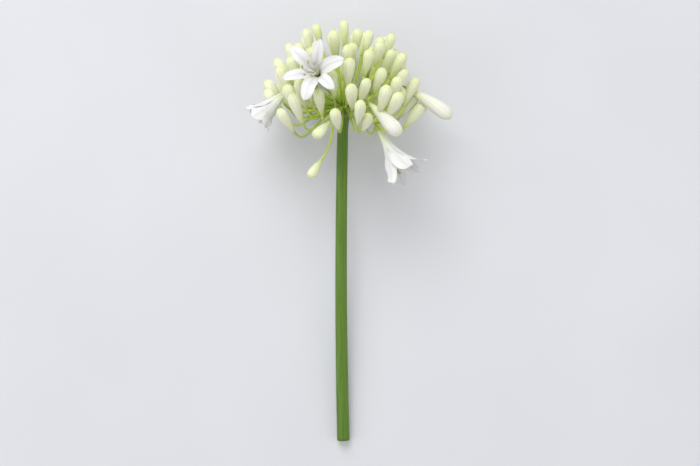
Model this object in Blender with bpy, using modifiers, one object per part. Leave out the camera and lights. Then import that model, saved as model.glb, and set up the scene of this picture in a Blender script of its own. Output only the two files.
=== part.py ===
"""White agapanthus flower head: one cut umbel with 28 cm of its scape, lying on a table.

The head is an umbel: every floret has its own pedicel, and all pedicels leave one hub at the top
of the scape. Most florets are closed buds, and three have opened into six-tepalled flowers.
Axes: +Y runs along the scape from the cut end to the head, +Z is up from the table, and the
origin is on the table, in the middle of the whole flower's outline. Units are metres.
"""

import math

import bmesh
import bpy
import numpy as np
from mathutils import Matrix, Vector

# Scape, the leafless flower stem. It lies on its cut end and rises to the hub.
SCAPE_LENGTH = 0.280
SCAPE_RADIUS_CUT = 0.0053
SCAPE_RADIUS_TOP = 0.0045
SCAPE_SLOPE_CUT = math.radians(4.0)
SCAPE_SLOPE_HUB = math.radians(12.5)
SCAPE_SIDE_BEND = math.radians(3.0)
SCAPE_STEPS = 14

# Hub, the receptacle that carries all pedicels. The scape flares up to it.
HUB_RADIUS = 0.0062
# Height above the scape's end and width, both as shares of the radius.
HUB_DOME = ((0.0, 0.95), (0.30, 1.02), (0.65, 0.96), (0.95, 0.68), (1.10, 0.25))
# Distance below the hub, and how much of the way from the scape's radius to the hub's it has swelled.
FLARE = ((0.018, 0.0), (0.009, 0.35), (0.0027, 0.9), (0.0, 1.0))
SHAFT_END = 0.022
# Pieces of different nodes stay this far apart.
NODE_GAP = 0.0003

# Florets in general. The inner ones are the youngest: they have the smallest buds.
SEED = 41
BUD_COUNT = 80
WIDEST_POLAR = math.radians(112.0)
GOLDEN_ANGLE = math.pi * (3.0 - math.sqrt(5.0))
PEDICEL_LENGTHS = (0.038, 0.054)
PEDICEL_RADIUS_ROOT = 0.00120
PEDICEL_RADIUS_MID = 0.00090
# All pedicels point away from one spot inside the hub, this far above the scape's end. They start
# a little outside it, and none starts lower than this angle from the scape's line.
HUB_HEART = 0.0040
PEDICEL_SUNK = 0.0035
LOWEST_START = math.cos(math.radians(93.0))
# A pedicel's curve: how far it starts off on the side away from its bend, its handles as shares of
# its length, and the places along it that have a ring.
START_AWAY = 0.30
PEDICEL_HANDLES = (0.42, 0.40)
PEDICEL_RINGS = np.array([0.0, 0.34, 0.60, 0.83])
BUD_LENGTH = 0.0265
BUD_RADIUS = 0.0046
BUD_SIZE_INNER, BUD_SIZE_OUTER = 0.72, 1.04
BUD_SIZE_SPREAD = (0.90, 1.12)
# A bud half as long as another is this power of a half as thick.
BUD_SLIMMING = 0.7
# Share of the bud's length from its base, and share of its full radius there.
BUD_PROFILE = ((0.0, 0.24), (0.28, 0.56), (0.56, 0.92), (0.77, 1.0), (0.92, 0.72), (1.0, 0.28))
# A six-sided tube this much larger has the round tube's area.
HEXAGON_SWELL = 1.07
# How far outer buds turn up from their pedicels' direction to the scape's, and how much that and
# the direction itself vary.
UPRIGHT = 1.7
UPRIGHT_SPREAD = (0.6, 1.3)
WAY_JITTER = 0.15
PULL_JITTER = 0.10

# How the florets lie: one that reaches the table, or nearly, rests on it and is pressed flat.
PRESSED = 0.0005
SINKS_IF_WITHIN = 0.0030
# Crowded buds turn about the hub until they are this far apart.
CLEARANCE = 0.0007
TURN_ROUNDS = 300
SETTLE_ROUNDS = 20
TURN_SHARE = 0.30
HOME_SHARE = 0.015
TURN_FROM_HUB = 0.016
# Balls that stand for a floret while it makes room: their places along the pedicel, the bud, a
# tepal and a tube. A tepal's also have a share of half its width, and a tube's a radius.
PEDICEL_BALLS = np.array([0.45, 0.70, 0.92])
BUD_BALLS = np.array([0.30, 0.55, 0.78, 0.93])
TEPAL_BALLS = ((0.45, 0.70), (0.65, 1.0), (0.82, 1.0), (1.0, 0.70))
TUBE_BALLS = ((0.005, 0.0025), (0.012, 0.0040))
SCAPE_BALLS_TO = 0.070

# Florets placed by hand. The pedicel's way from the hub and the floret's own axis are each a polar
# angle from the scape's line and an azimuth round it, in degrees: 0 is to the right, 90 faces up.
LARGE_BUDS = (
    {"way": (79, 57), "pedicel": 0.040, "axis": (130, 22), "length": 0.036, "radius": 0.0061},
    {"way": (74, 6), "pedicel": 0.057, "axis": (118, 8), "length": 0.041, "radius": 0.0059},
    {"way": (100, 104), "pedicel": 0.040, "axis": (128, 146), "length": 0.020, "radius": 0.0046},
    {"way": (143, 122), "pedicel": 0.050, "axis": (146, 165), "length": 0.019, "radius": 0.0040},
)
BLOOMS = {
    "star_bloom": {"way": (53, 121), "pedicel": 0.046, "axis": (70, 101), "roll": 20},
    "trumpet_bloom": {"way": (110, 44), "pedicel": 0.044, "axis": (144, 32), "roll": 10},
    "bell_bloom": {"way": (76, 166), "pedicel": 0.050, "axis": (134, 174), "roll": 25},
}

# Open flowers: the length of a tepal with its share of the tube, and the angle in degrees of the
# tepal's line from the flower's axis at five even places along it.
TEPAL_LENGTHS = {"star_bloom": 0.043, "trumpet_bloom": 0.048, "bell_bloom": 0.035}
FLARES = {
    "star_bloom": (5, 12, 28, 66, 96),
    "trumpet_bloom": (5, 12, 19, 25, 46),
    "bell_bloom": (8, 16, 20, 18, 34),
}
# A flower opens further on one side than on the other: by how many degrees at a tepal's tip, and
# on which side, as an angle round the flower's axis.
OPENS_UNEVENLY = {"star_bloom": (4, 40), "trumpet_bloom": (24, 262), "bell_bloom": (6, 150)}
# Along a tepal, as shares of its length: the end of the tube, and the end of the solid throat.
TUBE_SHARE = 0.30
THROAT_SHARE = 0.44
TEPAL_FROM = 0.24
TUBE_RADIUS = 0.0017
TEPAL_STEPS = 7
TEPAL_ACROSS = 3
TEPAL_THICKNESS = 0.0008
# Width of an outer and of an inner tepal. The inner ones lie a little closer to the axis.
TEPAL_WIDTHS = {
    "star_bloom": (0.0090, 0.0112),
    "trumpet_bloom": (0.0125, 0.0145),
    "bell_bloom": (0.0118, 0.0138),
}
WHORL_OFFSET = 0.0005
# Share of the free tepal at which it is widest, and how much flatter an outer and an inner tepal
# get than the tube.
WIDEST_SHARE = 0.62
FLATTER = (1.5, 1.0)
STAMEN_COUNT = 6
FILAMENT_RADIUS = 0.00045
# Reach of every second filament and of the others.
FILAMENT_LENGTHS = {
    "star_bloom": (0.013, 0.015),
    "trumpet_bloom": (0.017, 0.019),
    "bell_bloom": (0.011, 0.013),
}
# How far the filaments spread at their tips, and how far all threads of a flower droop to one
# side, given in degrees.
FILAMENT_SPREAD = {"star_bloom": 0.0048, "trumpet_bloom": 0.0026, "bell_bloom": 0.0034}
THREADS_DROOP = {"star_bloom": (0.0022, 0), "trumpet_bloom": (0.0054, 46), "bell_bloom": (0.0015, 0)}
ANTHER_RADIUS, ANTHER_LENGTH = 0.0010, 0.0030
STYLE_RADIUS, STYLE_LENGTH, STYLE_SPREAD = 0.00050, 0.021, 0.0015
THREAD_ROOT_RADIUS, THREAD_SUNK = 0.0012, 0.0020

# Colours, as linear RGB.
SCAPE_GREEN = (0.105, 0.235, 0.045)
BUD_CREAM = (0.62, 0.70, 0.36)
PETAL_WHITE = (0.86, 0.87, 0.82)


def clear_scene():
    for obj in list(bpy.data.objects):
        bpy.data.objects.remove(obj)


def new_collection(name):
    collection = bpy.data.collections.new(name)
    bpy.context.scene.collection.children.link(collection)
    return collection


def make_material(name, colour, roughness):
    material = bpy.data.materials.new(name)
    material.use_nodes = True
    shader = material.node_tree.nodes["Principled BSDF"]
    shader.inputs["Base Color"].default_value = (*colour, 1.0)
    shader.inputs["Roughness"].default_value = roughness
    shader.inputs["Metallic"].default_value = 0.0
    return material


def set_material(obj, material):
    obj.data.materials.clear()
    obj.data.materials.append(material)


def unit(vectors):
    """The vectors, each at length one."""
    return vectors / np.linalg.norm(vectors, axis=-1, keepdims=True)


def scape_line():
    """Points along the scape's middle from the cut end to the hub, and its direction there.

    The slope and the sideways bend both grow evenly along the length, so the line is an arc.
    """
    share = np.linspace(0.0, 1.0, SCAPE_STEPS + 1)
    slope = SCAPE_SLOPE_CUT + (SCAPE_SLOPE_HUB - SCAPE_SLOPE_CUT) * share
    turn = SCAPE_SIDE_BEND * (share - 0.5)
    ways = np.stack([np.sin(turn) * np.cos(slope), np.cos(turn) * np.cos(slope), np.sin(slope)], 1)
    steps = (ways[1:] + ways[:-1]) / 2 * SCAPE_LENGTH / SCAPE_STEPS
    line = np.vstack([np.zeros(3), np.cumsum(steps, axis=0)])
    line += (0.0, 0.0, SCAPE_RADIUS_CUT * math.cos(SCAPE_SLOPE_CUT) - PRESSED)
    return line, ways


def hub_frame():
    """The spot all pedicels leave, and unit vectors along the scape, to the right and up."""
    line, ways = scape_line()
    along = unit(ways[-1])
    right = unit(np.cross(along, (0.0, 0.0, 1.0)))
    return line[-1] + HUB_HEART * along, along, right, np.cross(right, along)


def from_angles(polar, azimuth):
    """Unit vectors at a polar angle from the scape's line and an azimuth round it, in radians."""
    _, along, right, up = hub_frame()
    polar, azimuth = np.asarray(polar)[..., None], np.asarray(azimuth)[..., None]
    round_it = np.cos(azimuth) * right + np.sin(azimuth) * up
    return np.cos(polar) * along + np.sin(polar) * round_it


def bezier(corners, share):
    """Points at the given shares of cubic Bezier curves, whose four corners are the third axis up."""
    t = share[:, None]
    weights = ((1 - t) ** 3, 3 * t * (1 - t) ** 2, 3 * t**2 * (1 - t), t**3)
    return sum(w * corner[:, None, :] for w, corner in zip(weights, corners))


def grow(florets):
    """Base point and axis of each floret, and the four corners of its pedicel's curve.

    A pedicel leaves the hub on the far side of its own way and then bends into its floret's axis.
    """
    middle, along, _, _ = hub_frame()
    ways, reach = florets["way"], florets["pedicel"][:, None]
    base = middle + ways * reach
    axis = unit(ways + florets["pull"])
    aside = florets["pull"] - (florets["pull"] * ways).sum(axis=1)[:, None] * ways
    start = unit(ways - START_AWAY * aside)
    start = unit(start + np.clip(LOWEST_START - start @ along, 0, None)[:, None] * along)
    root = middle + start * PEDICEL_SUNK
    out_of_hub = root + PEDICEL_HANDLES[0] * reach * start
    into_floret = base - PEDICEL_HANDLES[1] * reach * axis
    return base, axis, (root, out_of_hub, into_floret, base)


def first_florets():
    """Buds on a golden-angle spiral over the cap, then the ones placed by hand, then the blooms.

    Each has its pedicel's way and length, its bud's length and radius, and the pull that turns
    its axis from that way.
    """
    _, along, _, _ = hub_frame()
    rng = np.random.default_rng(SEED)
    order = (np.arange(BUD_COUNT) + 0.5) / BUD_COUNT
    polar = np.arccos(1 - order * (1 - math.cos(WIDEST_POLAR)))
    azimuth = np.arange(BUD_COUNT) * GOLDEN_ANGLE
    azimuth += rng.uniform(-WAY_JITTER, WAY_JITTER, BUD_COUNT)
    size = BUD_SIZE_INNER + (BUD_SIZE_OUTER - BUD_SIZE_INNER) * np.sqrt(order)
    size *= rng.uniform(*BUD_SIZE_SPREAD, BUD_COUNT)
    pedicel = rng.uniform(*PEDICEL_LENGTHS, BUD_COUNT)
    upright = UPRIGHT * np.sin(polar) * rng.uniform(*UPRIGHT_SPREAD, BUD_COUNT)
    pull = upright[:, None] * along + rng.normal(0.0, PULL_JITTER, (BUD_COUNT, 3))
    radius = BUD_RADIUS * size**BUD_SLIMMING
    placed = list(LARGE_BUDS) + list(BLOOMS.values())
    placed_ways = from_angles(*np.radians([floret["way"] for floret in placed]).T)
    placed_axes = from_angles(*np.radians([floret["axis"] for floret in placed]).T)
    return {
        "way": np.vstack([from_angles(polar, azimuth), placed_ways]),
        "pull": np.vstack([pull, placed_axes - placed_ways]),
        "pedicel": np.append(pedicel, [floret["pedicel"] for floret in placed]),
        "length": np.append(BUD_LENGTH * size, [floret.get("length", 0) for floret in placed]),
        "radius": np.append(radius, [floret.get("radius", 0) for floret in placed]),
    }


def opening(name, number):
    """How much further than its flower's mean a tepal opens at its tip, in radians."""
    more, side = np.radians(OPENS_UNEVENLY[name])
    return more * math.cos(number * math.pi / 3 - side)


def bloom_line(name, shares, more=0.0):
    """Distance from the flower's axis, distance along it, and the angle, along a tepal's line.

    The angle from the axis runs through the values of FLARES, from the base to the tip, plus what
    this tepal opens more, which grows with the square of the share. The line is its integral.
    """
    fine = np.linspace(0.0, 1.0, 201)
    angle = np.radians(np.interp(fine, np.linspace(0, 1, len(FLARES[name])), FLARES[name]))
    angle = angle + more * fine**2
    between = (angle[1:] + angle[:-1]) / 2
    step = TEPAL_LENGTHS[name] / len(between)
    out = TUBE_RADIUS + np.append(0.0, np.cumsum(np.sin(between))) * step
    along = np.append(0.0, np.cumsum(np.cos(between))) * step
    return tuple(np.interp(shares, fine, values) for values in (out, along, angle))


def bloom_frame(name):
    """Base point of the open flower, and a matrix whose columns are its two sides and its axis."""
    florets = first_florets()
    index = BUD_COUNT + len(LARGE_BUDS) + list(BLOOMS).index(name)
    bases, axes, _ = grow(florets)
    base, axis = bases[index], axes[index]
    right = unit(np.cross(axis, hub_frame()[1]))
    over = np.cross(axis, right)
    roll = math.radians(BLOOMS[name]["roll"])
    first = math.cos(roll) * right + math.sin(roll) * over
    return base, np.stack([first, np.cross(axis, first), axis], axis=1)


def bud_samples(florets, count):
    """Balls that stand for the pedicels and buds of the first count florets."""
    base, axis, corners = grow(florets)
    stalk = bezier(corners, PEDICEL_BALLS)
    bud = base[:, None, :] + axis[:, None, :] * BUD_BALLS[:, None] * florets["length"][:, None, None]
    points = np.concatenate([stalk, bud], axis=1)[:count]
    stalk_radii = np.full((count, len(PEDICEL_BALLS)), PEDICEL_RADIUS_ROOT)
    fill = np.interp(BUD_BALLS, *np.array(BUD_PROFILE).T)
    radii = np.concatenate([stalk_radii, fill * florets["radius"][:count, None]], axis=1)
    return points, radii


def bloom_samples():
    """Balls that stand for the tepals and tubes of the open flowers."""
    share, width_shares = np.array(TEPAL_BALLS).T
    reach, tube_radii = np.array(TUBE_BALLS).T
    points, radii = [], []
    for name in BLOOMS:
        base, frame = bloom_frame(name)
        for number in range(6):
            turn = number * math.pi / 3
            out, along, _ = bloom_line(name, share, opening(name, number))
            local = np.stack([out * math.cos(turn), out * math.sin(turn), along], axis=1)
            points.append(base + local @ frame.T)
            radii.append(width_shares * sum(TEPAL_WIDTHS[name]) / 4)
        points.append(base + np.outer(reach, frame[:, 2]))
        radii.append(tube_radii)
    return np.vstack(points), np.concatenate(radii)


def scape_samples():
    """Balls that stand for the upper end of the scape, half a radius apart."""
    line, _ = scape_line()
    _, along, _, _ = hub_frame()
    below = np.arange(HUB_RADIUS, SCAPE_BALLS_TO, SCAPE_RADIUS_TOP / 2)
    return line[-1] - np.outer(below, along), np.full(len(below), SCAPE_RADIUS_CUT + CLEARANCE)


def turn_apart(florets, home, solid_points, solid_radii):
    """Turns every bud about the hub, away from what its balls reach into, and a little back home.

    What it reaches into is other florets or the solid balls. The florets placed by hand stay.
    """
    middle, _, _, _ = hub_frame()
    placed = BUD_COUNT + len(LARGE_BUDS)
    points, radii = bud_samples(florets, placed)
    owner = np.repeat(np.arange(placed), points.shape[1])
    flat, size = points.reshape(-1, 3), radii.reshape(-1)
    away = flat[:, None, :] - np.vstack([flat, solid_points])
    distance = np.linalg.norm(away, axis=2) + 1e-9
    depth = size[:, None] + np.concatenate([size, solid_radii]) + CLEARANCE - distance
    itself = owner[:, None] == np.append(owner, np.full(len(solid_radii), -1))
    depth = np.where(itself, 0.0, np.clip(depth, 0.0, None))
    push = (away / distance[:, :, None] * depth[:, :, None]).sum(axis=1)
    lever = np.linalg.norm(flat - middle, axis=1)
    turn = np.where(lever > TURN_FROM_HUB, 1.0 / lever, 0.0)[:, None] * push
    turn = turn.reshape(placed, -1, 3).sum(axis=1)[:BUD_COUNT]
    ways = florets["way"][:BUD_COUNT]
    back = home[:BUD_COUNT] - ways
    florets["way"][:BUD_COUNT] = unit(ways + TURN_SHARE * turn + HOME_SHARE * back)


def press_on_table(florets, within):
    """Turns each bud that reaches the table, or is this near it, to where it is just pressed."""
    middle, _, _, _ = hub_frame()
    rows = np.arange(BUD_COUNT)
    points, radii = bud_samples(florets, BUD_COUNT)
    depth = radii - PRESSED - points[:, :, 2]
    lowest = depth.argmax(axis=1)
    lever = np.linalg.norm(points[rows, lowest] - middle, axis=1)
    near = depth[rows, lowest] > -within
    florets["way"][rows, 2] += np.where(near, depth[rows, lowest] / lever, 0.0)
    florets["way"] = unit(florets["way"])


def lay_out():
    """The florets with the buds moved apart, the lowest of them resting on the table."""
    florets = first_florets()
    home = florets["way"].copy()
    bloom_points, bloom_radii = bloom_samples()
    scape_points, scape_radii = scape_samples()
    solid_points = np.vstack([bloom_points, scape_points])
    solid_radii = np.append(bloom_radii, scape_radii)
    for step in range(TURN_ROUNDS):
        turn_apart(florets, home, solid_points, solid_radii)
        press_on_table(florets, SINKS_IF_WITHIN if step > TURN_ROUNDS / 4 else 0.0)
    for _ in range(SETTLE_ROUNDS):
        press_on_table(florets, SINKS_IF_WITHIN / 2)
    return florets


def tube_object(name, points, radii, collection, sides=6):
    """A closed tube along the points, as a curve with a bevel, made a mesh and welded."""
    curve = bpy.data.curves.new(name, "CURVE")
    curve.dimensions = "3D"
    curve.bevel_depth = 1.0
    curve.bevel_resolution = (sides - 4) // 2
    curve.use_fill_caps = True
    spline = curve.splines.new("POLY")
    spline.points.add(len(points) - 1)
    spline.points.foreach_set("co", np.column_stack([points, np.ones(len(points))]).ravel())
    spline.points.foreach_set("radius", np.asarray(radii, float))
    guide = bpy.data.objects.new(name + "_guide", curve)
    collection.objects.link(guide)
    graph = bpy.context.evaluated_depsgraph_get()
    mesh = bpy.data.meshes.new_from_object(guide.evaluated_get(graph))
    bpy.data.objects.remove(guide)
    weld(mesh)
    made = bpy.data.objects.new(name, mesh)
    collection.objects.link(made)
    return made


def weld(mesh):
    """Joins a tube's loose caps to its sides and turns all faces outwards."""
    bm = bmesh.new()
    bm.from_mesh(mesh)
    bmesh.ops.remove_doubles(bm, verts=bm.verts, dist=1e-6)
    bmesh.ops.recalc_face_normals(bm, faces=bm.faces)
    bm.to_mesh(mesh)
    bm.free()


def join_collection(target, collection):
    """Unites every object of the collection with the target, and removes them."""
    union = target.modifiers.new("join", "BOOLEAN")
    union.operation = "UNION"
    union.operand_type = "COLLECTION"
    union.collection = collection
    union.solver = "MANIFOLD"
    apply_modifiers(target)
    for obj in list(collection.objects):
        bpy.data.objects.remove(obj)
    bpy.data.collections.remove(collection)


def signed_volume(faces):
    """Volume inside the faces, each split into a fan; it is negative round a cavity."""
    total = 0.0
    for face in faces:
        first, *others = (vert.co for vert in face.verts)
        total += sum(first.dot(b.cross(c)) for b, c in zip(others, others[1:]))
    return total / 6


def connected_faces(bm):
    """The mesh's faces, as one list for each surface that hangs together."""
    left = set(bm.faces)
    surfaces = []
    while left:
        reached = [left.pop()]
        surface = []
        while reached:
            face = reached.pop()
            surface.append(face)
            near = {other for edge in face.edges for other in edge.link_faces} & left
            left -= near
            reached.extend(near)
        surfaces.append(surface)
    return surfaces


def keep_one_body(target):
    """Fills the hollows that joining sealed, and drops any scrap: only the largest stays."""
    bm = bmesh.new()
    bm.from_mesh(target.data)
    surfaces = connected_faces(bm)
    largest = max(surfaces, key=signed_volume)
    extra = [face for surface in surfaces if surface is not largest for face in surface]
    bmesh.ops.delete(bm, geom=extra, context="FACES")
    bm.to_mesh(target.data)
    bm.free()


def cut_at_table(target):
    """Takes away what was pressed through the table, which leaves a small flat on it."""
    bpy.ops.mesh.primitive_cube_add(size=1.0)
    table = bpy.context.object
    table.location = (0.0, 0.0, -0.5)
    table.hide_render = True
    table.display_type = "WIRE"
    cut = target.modifiers.new("press", "BOOLEAN")
    cut.operation = "DIFFERENCE"
    cut.object = table
    cut.solver = "MANIFOLD"
    apply_modifiers(target)
    bpy.data.objects.remove(table)


def apply_modifiers(obj):
    """Replaces the object's mesh by the evaluated one and drops its modifiers."""
    bpy.context.view_layer.update()
    graph = bpy.context.evaluated_depsgraph_get()
    mesh = bpy.data.meshes.new_from_object(obj.evaluated_get(graph))
    obj.modifiers.clear()
    obj.data = mesh


def make_scape(collection):
    """The green stem: an arc that tapers to the hub and flares just below it."""
    line, _ = scape_line()
    _, along, _, _ = hub_frame()
    share = np.linspace(0.0, 1.0, len(line))
    shaft = share * SCAPE_LENGTH < SCAPE_LENGTH - SHAFT_END
    radii = SCAPE_RADIUS_CUT + (SCAPE_RADIUS_TOP - SCAPE_RADIUS_CUT) * share[shaft]
    below, swelled = np.array(FLARE).T
    flare = line[-1] - np.outer(below + NODE_GAP, along)
    flare_radii = SCAPE_RADIUS_TOP + (HUB_RADIUS - SCAPE_RADIUS_TOP) * swelled
    points = np.vstack([line[shaft], flare])
    scape = tube_object("scape", points, np.append(radii, flare_radii), collection, sides=12)
    cut_at_table(scape)
    return scape


def make_hub(collection):
    """The domed receptacle, in line with the scape."""
    line, _ = scape_line()
    _, along, _, _ = hub_frame()
    height, width = np.array(HUB_DOME).T
    points = line[-1] + np.outer(height * HUB_RADIUS, along)
    return tube_object("umbel", points, width * HUB_RADIUS, collection, sides=10)


def make_umbel(florets, collection):
    """The hub with every pedicel and closed bud, all one body."""
    umbel = make_hub(collection)
    parts = new_collection("florets")
    base, axis, corners = grow(florets)
    share, fill = np.array(BUD_PROFILE).T
    stalks = bezier(corners, PEDICEL_RINGS)
    stalk_radii = np.full(len(PEDICEL_RINGS), PEDICEL_RADIUS_MID)
    stalk_radii[0] = PEDICEL_RADIUS_ROOT
    for index in range(len(base)):
        if florets["length"][index]:
            top = base[index] + np.outer(share * florets["length"][index], axis[index])
            top_radii = fill * florets["radius"][index] * HEXAGON_SWELL
        else:
            top = base[index] - NODE_GAP * axis[index]
            top_radii = TUBE_RADIUS
        points = np.vstack([stalks[index], top])
        tube_object(f"floret_{index}", points, np.append(stalk_radii, top_radii), parts)
    join_collection(umbel, parts)
    keep_one_body(umbel)
    cut_at_table(umbel)
    return umbel


def tepal_grid(name, number):
    """Points of one tepal, on a grid of TEPAL_STEPS along it by TEPAL_ACROSS over it.

    Along, it follows the flower's flare. Across, it is an arc that is as round as the tube at the
    base, so that six tepals close into a funnel, and flatter further out.
    """
    whorl = number % 2
    share = np.linspace(TEPAL_FROM, 1.0, TEPAL_STEPS + 1)
    out, along, angle = bloom_line(name, share, opening(name, number))
    free = np.clip((share - TUBE_SHARE) / (1 - TUBE_SHARE), 0.0, 1.0)
    widest = TEPAL_WIDTHS[name][whorl] / 2
    at_tube = np.minimum(out * math.tan(math.pi / 6), widest)
    widening = np.sin(np.clip(free / WIDEST_SHARE, 0.0, 1.0) * math.pi / 2)
    past_widest = np.clip((free - WIDEST_SHARE) / (1.02 - WIDEST_SHARE), 0.0, 1.0)
    half = (at_tube + (widest - at_tube) * widening) * np.sqrt(1 - past_widest**2)
    across = np.linspace(-1.0, 1.0, TEPAL_ACROSS + 1)
    bend_radius = out * (1 + FLATTER[whorl] * free)
    sweep = across[None, :] * (half / bend_radius)[:, None]
    side = bend_radius[:, None] * np.sin(sweep)
    inwards = bend_radius[:, None] * (1 - np.cos(sweep)) + WHORL_OFFSET * whorl
    radial = out[:, None] - inwards * np.cos(angle)[:, None]
    height = along[:, None] + inwards * np.sin(angle)[:, None]
    return np.stack([radial, side, height], axis=2)


def tepal_object(name, number, place, collection):
    """One tepal as a triangulated sheet with Solidify, turned round the flower's axis."""
    grid = tepal_grid(name, number)
    turn = Matrix.Rotation(number * math.pi / 3, 4, "Z")
    bm = bmesh.new()
    bmesh.ops.create_grid(bm, x_segments=TEPAL_STEPS, y_segments=TEPAL_ACROSS, size=1.0)
    bm.verts.ensure_lookup_table()
    for vert in bm.verts:
        row = round((vert.co.x + 1) / 2 * TEPAL_STEPS)
        column = round((vert.co.y + 1) / 2 * TEPAL_ACROSS)
        vert.co = Vector(grid[row, column])
    bmesh.ops.triangulate(bm, faces=bm.faces)
    bmesh.ops.transform(bm, verts=bm.verts, matrix=place @ turn)
    mesh = bpy.data.meshes.new(name)
    bm.to_mesh(mesh)
    bm.free()
    tepal = bpy.data.objects.new(f"{name}_tepal_{number}", mesh)
    collection.objects.link(tepal)
    wall = tepal.modifiers.new("wall", "SOLIDIFY")
    wall.thickness = TEPAL_THICKNESS
    wall.offset = 0.0
    apply_modifiers(tepal)
    weld(tepal.data)
    return tepal


def make_bloom(name, collection):
    """One open flower: a tube, three outer and three inner tepals, six stamens and a style."""
    base, frame = bloom_frame(name)
    place = Matrix.Translation(Vector(base)) @ Matrix(frame.tolist()).to_4x4()
    out, along, _ = bloom_line(name, np.array([0.0, 0.15, TUBE_SHARE, THROAT_SHARE]))
    tube_points = base + np.outer(along, frame[:, 2])
    bloom = tube_object(name, tube_points, out * (1.0, 1.05, 1.02, 0.9), collection, sides=10)
    parts = new_collection(name + "_pieces")
    for number in range(6):
        tepal_object(name, number, place, parts)
    for index in range(STAMEN_COUNT):
        stamen_object(name, index, base, frame, along[-1], parts)
    style_object(name, base, frame, along[-1], parts)
    join_collection(bloom, parts)
    keep_one_body(bloom)
    return bloom


def thread_line(name, turn, throat, reach, spread):
    """Local points of a thread that leaves the throat, leans outwards and droops to one side."""
    share = np.array([0.0, 0.4, 0.8, 1.0])
    out = THREAD_ROOT_RADIUS + spread * share**1.6
    droop, side = THREADS_DROOP[name]
    aside = droop * share**2
    x = out * math.cos(turn) + aside * math.cos(math.radians(side))
    y = out * math.sin(turn) + aside * math.sin(math.radians(side))
    return np.stack([x, y, throat - THREAD_SUNK + reach * share], axis=1)


def stamen_object(name, index, base, frame, throat, collection):
    """A filament with its anther: one tube that swells at the end."""
    turn = (index + 0.5) * math.pi / 3
    reach, spread = FILAMENT_LENGTHS[name][index % 2], FILAMENT_SPREAD[name]
    local = thread_line(name, turn, throat, reach, spread)
    anther = np.outer([0.35, 1.0], unit(local[-1] - local[-2])) * ANTHER_LENGTH
    points = base + np.vstack([local, local[-1] + anther]) @ frame.T
    radii = [FILAMENT_RADIUS] * len(local) + [ANTHER_RADIUS, ANTHER_RADIUS * 0.4]
    tube_object(f"{name}_stamen_{index}", points, radii, collection, sides=4)


def style_object(name, base, frame, throat, collection):
    """The style, a thread on the flower's axis that is longer than the stamens."""
    local = thread_line(name, math.pi / 2, throat, STYLE_LENGTH, STYLE_SPREAD)
    radii = [STYLE_RADIUS] * len(local)
    tube_object(f"{name}_style", base + local @ frame.T, radii, collection, sides=4)


def centre_on_origin(objects):
    """Moves every mesh so that the outline's middle stands on the origin."""
    corners = np.vstack([np.array([v.co for v in obj.data.vertices]) for obj in objects])
    middle = (corners.min(axis=0) + corners.max(axis=0)) / 2
    shift = Matrix.Translation((-middle[0], -middle[1], 0.0))
    for obj in objects:
        obj.data.transform(shift)


def main():
    clear_scene()
    collection = new_collection("agapanthus_flower_head")
    green = make_material("scape_green", SCAPE_GREEN, 0.45)
    cream = make_material("bud_cream", BUD_CREAM, 0.5)
    white = make_material("petal_white", PETAL_WHITE, 0.5)
    florets = lay_out()
    scape = make_scape(collection)
    umbel = make_umbel(florets, collection)
    blooms = [make_bloom(name, collection) for name in BLOOMS]
    set_material(scape, green)
    set_material(umbel, cream)
    for bloom in blooms:
        set_material(bloom, white)
    centre_on_origin([scape, umbel, *blooms])


main()
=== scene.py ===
# %% [markdown]
# # A white agapanthus flower head
#
# This lesson dresses a plain, faceted model of one cut flower, which says where every piece is and
# how large it is. The cells below grow a finer skin over it: a ribbed green stem, thin stalks,
# closed buds of six folded tepals, and three open flowers. The flower lies on its side: +Y runs
# along the stem to the head, +Z is up, and all lengths are in metres.

# %% Load the plain model
import math

import bpy
import numpy as np
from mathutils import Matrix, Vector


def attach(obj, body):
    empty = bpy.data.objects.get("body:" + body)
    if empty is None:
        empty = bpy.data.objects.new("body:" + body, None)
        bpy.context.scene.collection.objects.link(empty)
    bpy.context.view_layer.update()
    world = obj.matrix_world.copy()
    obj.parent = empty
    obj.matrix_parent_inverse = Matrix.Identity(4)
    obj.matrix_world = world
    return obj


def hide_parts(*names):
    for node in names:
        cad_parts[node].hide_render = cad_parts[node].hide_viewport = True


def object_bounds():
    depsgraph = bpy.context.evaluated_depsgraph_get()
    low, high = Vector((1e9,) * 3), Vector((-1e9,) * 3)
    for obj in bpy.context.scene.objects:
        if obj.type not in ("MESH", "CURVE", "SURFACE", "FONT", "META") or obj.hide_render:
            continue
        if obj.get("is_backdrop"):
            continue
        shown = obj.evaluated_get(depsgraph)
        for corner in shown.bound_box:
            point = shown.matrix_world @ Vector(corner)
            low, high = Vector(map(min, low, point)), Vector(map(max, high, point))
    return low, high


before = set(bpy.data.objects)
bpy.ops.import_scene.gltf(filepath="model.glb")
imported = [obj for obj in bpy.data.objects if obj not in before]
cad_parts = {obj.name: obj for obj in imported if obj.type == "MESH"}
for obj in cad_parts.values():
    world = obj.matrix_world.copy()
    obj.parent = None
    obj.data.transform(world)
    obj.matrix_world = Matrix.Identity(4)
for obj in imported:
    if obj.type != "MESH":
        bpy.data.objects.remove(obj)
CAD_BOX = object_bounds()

print("plain model:", sorted(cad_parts))

# %% [markdown]
# ## The stem's line
#
# The scape is the leafless stem. Laid down, it rises from its cut end to the heavy head. Its line
# could be drawn by hand. Here it is computed, with the plain model's own numbers: the slope and the
# sideways bend both grow evenly, which is an arc.

# %% Line of the scape and directions at the hub
SCAPE_LENGTH = 0.280
SCAPE_RADIUS_CUT, SCAPE_RADIUS_TOP = 0.0053, 0.0045
SCAPE_SLOPE_CUT, SCAPE_SLOPE_HUB = math.radians(4.0), math.radians(12.5)
SCAPE_SIDE_BEND = math.radians(3.0)
SCAPE_STEPS = 14
PRESSED = 0.0005
HUB_RADIUS = 0.0062
HUB_HEART = 0.0040
NODE_GAP = 0.0003


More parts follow.
